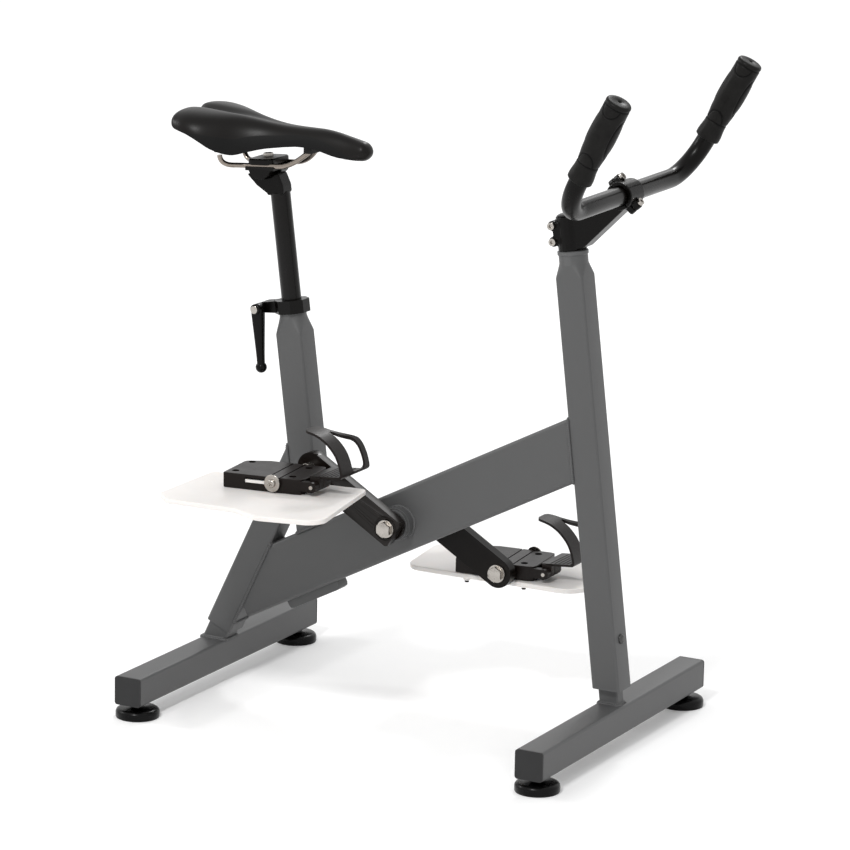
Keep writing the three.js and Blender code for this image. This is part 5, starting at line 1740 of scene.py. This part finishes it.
@dataclass(frozen=True)
class SeatPost(SubAssembly):
    """Seat post with its set-back head, the collar that clamps it and the collar's lever."""

    radius: float = 0.0136
    wall: float = 0.0022
    bottom: float = 0.053
    top: float = 0.3505
    top_edge: float = 0.0006
    head_half_width: float = 0.0125
    head_corner: float = 0.004
    axis: tuple[float, float] = (-0.0136, 0.390)
    seat: float = 0.0183
    seat_half_width: float = 0.05
    head_grain: float = 0.0008
    head_flow: float = 0.6
    head_rounds: int = 14
    corners: Table = (
        (0.0116, -0.0022), (0.0116, 0.010), (0.006, 0.027), (-0.043, 0.029),
        (-0.039, 0.024), (-0.029, 0.012), (-0.0136, 0.0), (-0.0136, -0.0022),
    )
    lever_length: float = 0.081
    lever_middle: float = -0.02115
    lever_corner: float = 0.0038
    lever_steps: int = 24
    hub: float = 0.0073
    hub_edge: float = 0.0008
    hub_ends: tuple[float, float] = (-0.030, -0.0123)
    ball: float = 0.0078
    widths: Table = ((0, 0.0172), (0.12, 0.0168), (0.5, 0.0132), (0.8, 0.0106), (1, 0.0098))
    depths: Table = ((0, 0.0138), (0.3, 0.0125), (1, 0.0098))

    def build(self, nodes: Nodes) -> None:
        """Builds the post and the lever, and dresses the collar.

        Args:
            nodes: The model's nodes.
        """
        frame = SEAT_TUBE.matrix
        outline = rounded([(x, self.top + z, self.head_corner) for x, z in self.corners], 8)
        head = Form().upright(outline, -self.head_half_width, self.head_half_width).build("seat_post", frame)
        x, z = self.axis
        round_seat = [(x + a, z + b) for a, b in circle(self.seat, WIDE_SIDES)]
        seat = Form().upright(round_seat, -self.seat_half_width, self.seat_half_width)
        combine(head, [seat.build("seat", frame)], "DIFFERENCE")
        forge_faces(head, self.head_grain, self.head_flow, self.head_rounds)
        settle(head)
        tube = [(self.radius - self.wall, self.bottom), (self.radius, self.bottom), (self.radius, self.top)]
        tube += [(self.radius - self.top_edge, self.top + self.top_edge)]
        join(head, [Form().lathe(tube, AXLE_SIDES).build("tube", frame)])
        self.show(head, "post", Finishes.ALLOY, ["seat_post"])
        self.dress(nodes, "seat_collar", Finishes.ALLOY, Edge.MOULDED)
        self.dress(nodes, "collar_screw", Finishes.STEEL, Edge.TURNED)
        self.lever()

    def lever(self) -> None:
        """Builds the collar's lever, which hangs from the screw and ends in a ball."""
        rings = []
        steps = self.lever_steps
        for k in range(steps + 1):
            share = k / steps
            outline = rounded_box(read(self.widths, share), read(self.depths, share), self.lever_corner, 5)
            rings.append([Vector((a, self.lever_middle + b, -share * self.lever_length)) for a, b in outline])
        form = Form().loft(rings)
        angles = [math.pi * (k + 0.5) / steps for k in range(steps)]
        ball = [(self.ball * math.sin(t), -self.ball * math.cos(t)) for t in angles]
        place = Matrix.Translation((0, self.lever_middle, -self.lever_length))
        form.add(Form().lathe(ball, HEAD_SIDES).moved(place))
        (low, high), rim = self.hub_ends, self.hub - self.hub_edge
        hub = [(rim, low), (self.hub, low + self.hub_edge), (self.hub, high - self.hub_edge), (rim, high)]
        form.add(Form().lathe(hub, AXLE_SIDES).moved(Side.LEFT.outward))
        lever = form.build("clamp_lever", LEVER.matrix, CURVED_CREASE)
        self.show(lever, "lever", Finishes.ALLOY, ["clamp_lever"])


@dataclass(frozen=True)
class Saddle(SubAssembly):
    """Wide padded saddle on two rails, with its base and the clamp that holds it.

    Its shape is a row of sections across the bike, each given as shares along its length from the tail.
    """

    length: float = 0.281
    tail: float = 0.1225
    half_width: float = 0.075
    rise: float = 0.071
    channel_width: float = 0.012
    channel_depth: float = 0.008
    notch_depth: float = 0.020
    notch_end: float = 0.3
    dome: float = 0.55
    hollow: float = 0.3
    under_width: float = 0.985
    tail_round: float = 0.011
    tail_taper: float = 0.3
    nose_round: float = 0.0115
    nose_taper: float = 0.85
    bluntness: float = 0.12
    sections: int = 110
    crowding: float = 0.75
    points: int = 96
    rail: float = 0.0035
    rail_sides: int = 28
    rail_steps: int = 10
    rear_bend: Sequence[Triple] = ((-0.057, 0.033, 0.015), (-0.057, 0.033, 0.0), (-0.038, 0.022, 0.0))
    front_bend: Sequence[Triple] = ((0.030, 0.022, 0.0), (0.049, 0.022, 0.0), (0.069, 0.0105, 0.019))
    rail_nose: Triple = (0.0725, 0.00525, 0.02075)

    widths: Table = (
        (0, 0.72), (0.02, 0.86), (0.055, 0.95), (0.11, 1.0), (0.18, 0.975), (0.25, 0.86), (0.325, 0.67),
        (0.395, 0.51), (0.465, 0.4), (0.54, 0.335), (0.61, 0.295), (0.715, 0.267), (0.82, 0.253), (0.91, 0.227),
        (0.965, 0.2), (1, 0.165),
    )
    crowns: Table = (
        (0, 0.9), (0.02, 0.965), (0.055, 1.0), (0.11, 1.005), (0.18, 0.985), (0.25, 0.963), (0.325, 0.94),
        (0.395, 0.905), (0.465, 0.865), (0.54, 0.83), (0.61, 0.811), (0.68, 0.80), (0.75, 0.785), (0.82, 0.745),
        (0.89, 0.685), (0.945, 0.635), (0.98, 0.6), (1, 0.58),
    )
    skirts: Table = (
        (0, 0.66), (0.03, 0.675), (0.075, 0.65), (0.13, 0.59), (0.18, 0.49), (0.25, 0.31), (0.325, 0.21),
        (0.395, 0.276), (0.465, 0.346), (0.54, 0.394), (0.61, 0.435), (0.715, 0.425), (0.82, 0.33), (0.91, 0.268),
        (0.96, 0.262), (1, 0.275),
    )
    channels: Table = ((0, 1), (0.2, 0.8), (0.35, 0.5), (0.5, 0.35), (0.7, 0.1), (0.8, 0), (1, 0))
    squareness: Table = ((0, 5), (0.2, 4.5), (0.4, 2.6), (1, 2.3))
    closings: Table = ((0, 1), (0.02, 0.8), (0.07, 0), (0.82, 0), (0.88, 0.3), (0.94, 0.8), (0.98, 1), (1, 1))
    panels: Table = (
        (0, 0.003), (0.12, 0.002), (0.26, 0.019), (0.35, 0.022), (0.51, 0.017), (0.69, 0.015), (0.82, 0.013),
        (0.9, 0.006), (0.95, 0.001), (1, -0.003),
    )

    def build(self, nodes: Nodes) -> None:
        """Builds the cushion and the rails, and dresses the base and the clamp.

        Args:
            nodes: The model's nodes.
        """
        self.cushion()
        self.rails()
        self.dress(nodes, "saddle_shell", Finishes.SHELL, Edge.SHELL)
        self.dress(nodes, "clamp_cradle", Finishes.ALLOY, Edge.CAST)
        self.dress(nodes, "clamp_plate", Finishes.ALLOY, Edge.CAST)
        self.dress(nodes, "clamp_bolt", Finishes.STEEL, Edge.TURNED)

    def ring(self, share: float) -> tuple[list[Vector], list[float]]:
        """One section of the cushion.

        Args:
            share: Where it is along the saddle.

        Returns:
            Its points, and how far each lies below the edge of the side panel.
        """
        half = self.half_width * read(self.widths, share)
        crown = self.rise * read(self.crowns, share)
        skirt = self.rise * read(self.skirts, share)
        channel = self.channel_depth * read(self.channels, share)
        square = read(self.squareness, share)
        closed = read(self.closings, share)
        sink = 0.5 * closed * (1 - closed)
        edge = skirt + read(self.panels, share)
        x = self.length * share - self.tail
        points: list[Vector] = []
        for k in range(self.points + 1):
            across = math.sin(math.pi / 2 * (2 * k / self.points - 1))
            inside = max(1 - abs(across) ** square, 0.0)
            bulge = lerp(inside**self.dome, 0.5 + 0.5 * math.sqrt(inside), closed) - sink * (1 - math.sqrt(inside))
            dip = channel * math.exp(-((across * half / self.channel_width) ** 2))
            points.append(Vector((x, across * half, skirt + (crown - skirt) * bulge - dip)))
        under = self.points // 4
        for k in range(1, under):
            across = 1 - 2 * k / under
            inside = max(1 - abs(across) ** square, 0.0)
            hollow = lerp(self.hollow * (1 - across**2), 0.5 - 0.5 * math.sqrt(inside), closed) - sink
            points.append(Vector((x, across * half * self.under_width, skirt + (crown - skirt) * hollow)))
        below = [edge - p.z for p in points]
        tail = self.fullness(x + self.tail, self.tail_round)
        nose = self.fullness(self.length - self.tail - x, self.nose_round)
        middle = lerp(skirt, crown, 0.5)
        for p in points:
            p.z = middle + (p.z - middle) * tail * nose
            p.y *= lerp(1, tail, self.tail_taper) * lerp(1, nose, self.nose_taper)
            notch = max(self.notch_depth - abs(p.y), 0.0)
            p.x += notch * max(1 - share / self.notch_end, 0.0) ** 2
        return points, below

    def fullness(self, away: float, radius: float) -> float:
        """How full a section is at a distance from an end that is rounded with a radius."""
        t = min(max(away / radius, 0.0), 1.0)
        return max(math.sqrt(1 - (1 - t) ** 2), self.bluntness)

    def cushion(self) -> None:
        """Builds the padded top with the panel mark that its cover is shaded by."""
        rings, marks = [], []
        for k in range(self.sections + 1):
            even = k / self.sections
            share = lerp(even, 0.5 - 0.5 * math.cos(math.pi * even), self.crowding)
            points, below = self.ring(share)
            rings.append(points)
            marks.extend(below)
        piece = Form().loft(rings).build("saddle_cushion", SADDLE.matrix, CURVED_CREASE)
        mark = piece.data.attributes.new("panel", "FLOAT", "POINT")
        mark.data.foreach_set("value", marks)
        self.show(piece, "saddle", Finishes.VINYL, ["saddle_cushion"])

    def rails(self) -> None:
        """Builds the bent rail that runs from one rear socket round the nose to the other."""
        way: list[Vector] = []
        shares = [k / self.rail_steps for k in range(self.rail_steps + 1)]
        for side in Side:
            line: list[Vector] = []
            for bend in (self.rear_bend, self.front_bend):
                a, b, c = (Vector((x, side.value * y, z)) for x, y, z in bend)
                line += [a * (1 - t) ** 2 + b * (2 * t * (1 - t)) + c * t * t for t in shares]
            x, y, z = self.rail_nose
            nose = Vector((x, side.value * y, z))
            way += [*line, nose] if side is Side.RIGHT else [nose, *line[::-1]]
        piece = Form().tube(way, self.rail, self.rail_sides).build("saddle_rails", SADDLE_CLAMP.matrix, CURVED_CREASE)
        self.show(piece, "saddle", Finishes.RAIL, ["saddle_rails"])


@dataclass(frozen=True)
class Steering(SubAssembly):
    """Steerer, stem with its face plate and bolts, handlebar and grips.

    Attributes:
        bands: The heights of the two lines round a grip.
        palm: Height and half sizes of the oval on a grip's sides.
        arches: Half sizes of the lower and the upper half oval on its front and back.
        end_disc: The grip's end, as how far in from its side and how far below its top.
        end_hole: The edge of the hole in it, as how far out from the hole and how far below the top.
    """

    bar: float = 0.0127
    bar_sides: int = 56
    bar_end: float = 0.0033
    corner: float = 0.189
    bend: float = 0.057
    grip_top: Triple = (0.0828, 0.200, 0.1558)
    grip: float = 0.120
    grip_cap: float = 0.0035
    grip_foot: float = 0.0008
    grip_sides: int = 144
    grip_steps: int = 170
    hole: float = 0.0025
    bore: float = 0.013
    groove: float = 0.0009
    groove_width: float = 0.0011
    bands: tuple[float, float] = (0.0265, 0.1135)
    palm: Triple = (0.072, 0.0105, 0.027)
    arches: Table = ((0.0125, 0.0165), (0.0135, 0.0145))
    end_disc: Table = ((0.0003, 0.0022), (0.0011, 0.0009), (0.0024, 0.0002), (0.004, 0.0))
    end_hole: Table = ((0.0005, 0.0), (0.0, 0.0004), (0.0, 0.0025))
    face_bolts: float = 0.0204
    face_seat: float = 0.0093
    pinch_bolts: tuple[float, float] = (0.013, 0.034)
    pinch_setback: float = 0.019
    pinch_seat: float = 0.0173
    bolt_head: Table = ((0.0047, 0.0), (0.005, 0.0003), (0.005, 0.0041), (0.0046, 0.0045))
    bolt_socket: tuple[float, float] = (0.0046, 0.0028)
    bolt_shank: Table = ((0.0025, -0.015), (0.0025, 0.0))
    forging_grain: float = 0.0009
    profile: Table = (
        (0.0, 0.0167), (0.0072, 0.0167), (0.0192, 0.0152), (0.0288, 0.0152), (0.0432, 0.0169), (0.0624, 0.0186),
        (0.0792, 0.0186), (0.102, 0.0173), (0.1165, 0.0173),
    )

    def build(self, nodes: Nodes) -> None:
        """Builds the steering.

        Args:
            nodes: The model's nodes.
        """
        for name in ("steerer_tube", "steerer_cap"):
            self.dress(nodes, name, Finishes.ALLOY, Edge.CAST)
        for name in ("stem", "stem_face_plate"):
            self.forge(nodes, name, Finishes.ALLOY, self.forging_grain)
        self.bolts()
        self.handlebar()
        for side in Side:
            self.build_grip(side)

    def bolts(self) -> None:
        """Builds the four socket head bolts of the stem."""
        ahead = Matrix.Rotation(math.radians(90), 4, "Y")
        for label, sign, height in (("lower", -1, self.pinch_bolts[0]), ("upper", 1, self.pinch_bolts[1])):
            face = BAR_FACE.matrix @ Matrix.Translation((self.face_seat, 0, sign * self.face_bolts)) @ ahead
            stem = STEM.matrix @ Matrix.Translation((-self.pinch_setback, -self.pinch_seat, height))
            places = ((f"face_plate_bolt_{label}", face), (f"pinch_bolt_{label}", stem @ Side.RIGHT.outward))
            for name, place in places:
                form = socket_head(self.bolt_head, *self.bolt_socket).lathe(self.bolt_shank, SCREW_SIDES)
                self.show(form.build(name, place), "frame", Finishes.STEEL, [name])

    def arm(self, side: Side) -> tuple[Vector, Vector, Vector]:
        """The line of one arm of the bar.

        Args:
            side: The bike's side.

        Returns:
            The bar's corner, the grip's end, and the direction from the one to the other.
        """
        corner = Vector((0, side.value * self.corner, 0))
        x, y, z = self.grip_top
        top = Vector((x, side.value * y, z))
        return corner, top, (top - corner).normalized()

    def handlebar(self) -> None:
        """Builds the bent bar."""
        ends = []
        for side in Side:
            corner, top, along = self.arm(side)
            ends.append((corner, top - along * self.bar_end))
        (right, right_top), (left, left_top) = ends
        middle = (right + left) / 2
        path = fillet_path([right_top, right, middle, left, left_top], [0, self.bend, 0, self.bend, 0])
        piece = Form().tube(path, self.bar, self.bar_sides).build("handlebar", BAR.matrix, CURVED_CREASE)
        self.show(piece, "bars", Finishes.ALLOY, ["handlebar"])

    def relief(self, turn: float, height: float, radius: float) -> float:
        """How deep the grip's pattern is cut at a place.

        Args:
            turn: The angle round the grip from the face between its side panels.
            height: The height above its lower end.
            radius: Its radius there.

        Returns:
            How deep it is cut, from 0 to 1.
        """

        def oval(centre: float, low: float, wide: float, tall: float) -> float:
            """How far the place is from an oval line.

            Args:
                centre: The angle of the oval's middle.
                low: The height of its middle.
                wide: Half its width.
                tall: Half its height.

            Returns:
                The distance, a little rough away from the line.
            """
            away = (turn - centre + math.pi) % (2 * math.pi) - math.pi
            far = math.hypot(away * radius / wide, (height - low) / tall)
            return abs(far - 1) * min(wide, tall)

        low, high = self.bands
        gaps = [abs(height - low), abs(height - high)]
        gaps += [oval(centre, *self.palm) for centre in (math.pi / 2, -math.pi / 2)]
        for centre in (0.0, math.pi):
            if height > low:
                gaps.append(oval(centre, low, *self.arches[0]))
            if height < high:
                gaps.append(oval(centre, high, *self.arches[1]))
        near = min(gaps) / self.groove_width
        return math.exp(-near * near)

    def build_grip(self, side: Side) -> None:
        """Builds a grip with its moulded lines, its end disc and the small hole in that.

        Args:
            side: The bike's side.
        """
        sides, steps, foot = self.grip_sides, self.grip_steps, self.grip_foot
        marks: dict[int, float] = {}
        body = self.grip - self.grip_cap
        rings = lathe_rings([(self.bore, 0.0), (self.profile[0][1] - foot, 0.0)], sides)
        for k in range(steps + 1):
            height = foot + (body - foot) * k / steps
            base = read(self.profile, height)
            ring = []
            for s, turn in enumerate(corner_angles(sides)):
                cut = self.relief(turn, height, base)
                marks[len(rings) * sides + s] = cut
                reach = base - cut * self.groove
                ring.append(Vector((reach * math.cos(turn), reach * math.sin(turn), height)))
            rings.append(ring)
        disc = [(self.profile[-1][1] - inward, self.grip - drop) for inward, drop in self.end_disc]
        disc += [(self.hole + outward, self.grip - drop) for outward, drop in self.end_hole]
        rings += lathe_rings(disc, sides)
        _, end, along = self.arm(side)
        face = -SIDEWAYS
        across = (face - along * face.dot(along)).normalized()
        axes = Matrix((across, along.cross(across), along)).transposed().to_4x4()
        place = BAR.matrix @ Matrix.Translation(end - along * self.grip) @ axes
        name = f"grip_{side.label}"
        piece = Form().loft(rings).build(name, place, SOFT_CREASE)
        # The groove attribute holds how deep each point is cut; the grip's material darkens the colour by it as
        # painted shade in the grooves.
        mark = piece.data.attributes.new("groove", "FLOAT", "POINT")
        mark.data.foreach_set("value", [marks.get(k, 0.0) for k in range(len(piece.data.vertices))])
        self.show(piece, "bars", Finishes.GRIP, [name])


@dataclass(frozen=True)
class Lamp:
    """A soft square lamp.

    Attributes:
        name: Its name.
        place: Where it is.
        side: The length of its side.
        power: Its power in watts.
    """

    name: str
    place: Triple
    side: float
    power: float

    def hang(self, target: Vector) -> None:
        """Hangs the lamp.

        Args:
            target: The point that it is turned to.
        """
        light = bpy.data.lights.new(self.name, "AREA")
        light.size = self.side
        light.energy = self.power
        lamp = bpy.data.objects.new(self.name, light)
        bpy.context.scene.collection.objects.link(lamp)
        lamp.location = self.place
        lamp.rotation_euler = (target - Vector(self.place)).to_track_quat("-Z", "Y").to_euler()


@dataclass(frozen=True)
class Studio:
    """Camera, white floor and light.

    The camera's axes point right, down and ahead, and its focal length is in pixels of the photograph. The floor
    gives off a little light itself: near_glow under the bike and far_glow in the distance, with the change
    between them at glow_edge and over glow_blur on each side of it.
    """

    eye: Triple = (2.690483, -5.094230, 1.782631)
    right: Triple = (0.8819375478516129, 0.4709580095956993, 0.019614150176370415)
    down: Triple = (0.1261635677083534, -0.1957575179967228, -0.972502826901219)
    ahead: Triple = (-0.4541683783274478, 0.860161349599841, -0.23206364812696623)
    focal_pixels: float = 4414.2
    sensor: float = 36.0
    floor: float = 60.0
    floor_white: float = 0.92
    near_glow: float = 0.1
    far_glow: float = 0.38
    glow_edge: float = 3.6
    glow_blur: float = 2.6
    sky: float = 0.72
    aim: float = 0.4
    lamps: tuple[Lamp, ...] = (
        Lamp("key", (0.2, -3.4, 3.6), 0.6, 90.0),
        Lamp("fill", (-3.2, -0.8, 2.2), 0.5, 22.0),
        Lamp("back", (-0.6, 3.2, 3.2), 0.6, 45.0),
    )

    def set_camera(self) -> None:
        """Sets the camera at the photograph's viewing angle."""
        lens = bpy.data.cameras.new("camera")
        lens.sensor_width = self.sensor
        lens.lens = self.focal_pixels / IMAGE_SIDE * self.sensor
        lens.clip_end = 2 * self.floor
        camera = bpy.data.objects.new("camera", lens)
        bpy.context.scene.collection.objects.link(camera)
        axes = Matrix((self.right, -Vector(self.down), -Vector(self.ahead))).transposed()
        camera.matrix_world = Matrix.Translation(self.eye) @ axes.to_4x4()
        bpy.context.scene.camera = camera

    def light(self) -> None:
        """Lays the floor, hangs the lamps and sets the sky."""
        bpy.context.scene.view_settings.view_transform = "Standard"
        half = self.floor / 2
        floor = Form()
        floor.points = [Vector((x * half, y * half, 0)) for x, y in ((-1, -1), (1, -1), (1, 1), (-1, 1))]
        floor.faces = [(0, 1, 2, 3)]
        piece = floor.build("floor")
        shader = Shader("white_floor")
        grain = shader.noise(9, 3)
        length = shader.node("ShaderNodeVectorMath", {"operation": "LENGTH"}, {0: shader.places})
        away = Wire(shader, length.outputs["Value"]).above(self.glow_edge, self.glow_blur)
        shader.finish(
            Base_Color=shader.tone((self.floor_white,) * 3, 0.99 + grain * 0.02),
            Roughness=0.9,
            Specular_IOR_Level=0.1,
            Emission_Color=shader.tone((1.0, 1.0, 1.0), self.near_glow + (self.far_glow - self.near_glow) * away),
            Emission_Strength=1.0,
        )
        piece.data.materials.append(shader.material)
        for lamp in self.lamps:
            lamp.hang(Vector((0, 0, self.aim)))
        world = bpy.data.worlds.new("sky")
        world.use_nodes = True
        bpy.context.scene.world = world
        graph = Graph(world.node_tree)
        rays = graph.node("ShaderNodeLightPath")
        seen = Wire(graph, rays.outputs["Is Camera Ray"])
        for kind in ("Is Glossy Ray", "Is Transmission Ray"):
            seen = seen + Wire(graph, rays.outputs[kind])
        level = self.sky + (1 - self.sky) * seen.held()
        graph.wire(world.node_tree.nodes["Background"], {"Color": (1.0, 1.0, 1.0), "Strength": level})


RIGHT_PLATE = (
    (-0.131, -0.100, 0.010), (-0.131, -0.239, 0.010), (-0.107, -0.263, 0.010), (-0.002, -0.263, 0.026),
    (0.041, -0.284, 0.026), (0.116, -0.271, 0.026), (0.129, -0.254, 0.026), (0.099, -0.083, 0.010),
)
LEFT_PLATE = ((-0.151, 0.065, 0.026), (0.117, 0.065, 0.034), (0.106, 0.198, 0.026), (-0.168, 0.198, 0.026))

FEET = (
    LevellingFoot("rear_foot_right", STRUT.x, -0.200524),
    LevellingFoot("rear_foot_left", STRUT.x, 0.231476),
    LevellingFoot("front_foot_right", COLUMN.x, -0.206524),
    LevellingFoot("front_foot_left", COLUMN.x, 0.237476),
)


def main() -> None:
    """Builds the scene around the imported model."""
    logging.basicConfig(level=logging.INFO, format="%(name)s: %(message)s")
    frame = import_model()
    nodes = frame["nodes"]
    studio = Studio()
    studio.set_camera()
    MainFrame().build(nodes)
    for foot in FEET:
        foot.build()
    crank = CrankSet()
    crank.build(nodes)
    Pedal(Side.RIGHT, -0.128, -0.6, RIGHT_PLATE).build(nodes, crank.pedal_centre(Side.RIGHT))
    Pedal(Side.LEFT, 0.107, 0.0, LEFT_PLATE).build(nodes, crank.pedal_centre(Side.LEFT))
    SeatPost().build(nodes)
    Saddle().build(nodes)
    Steering().build(nodes)
    studio.light()


if __name__ == "__main__":
    main()
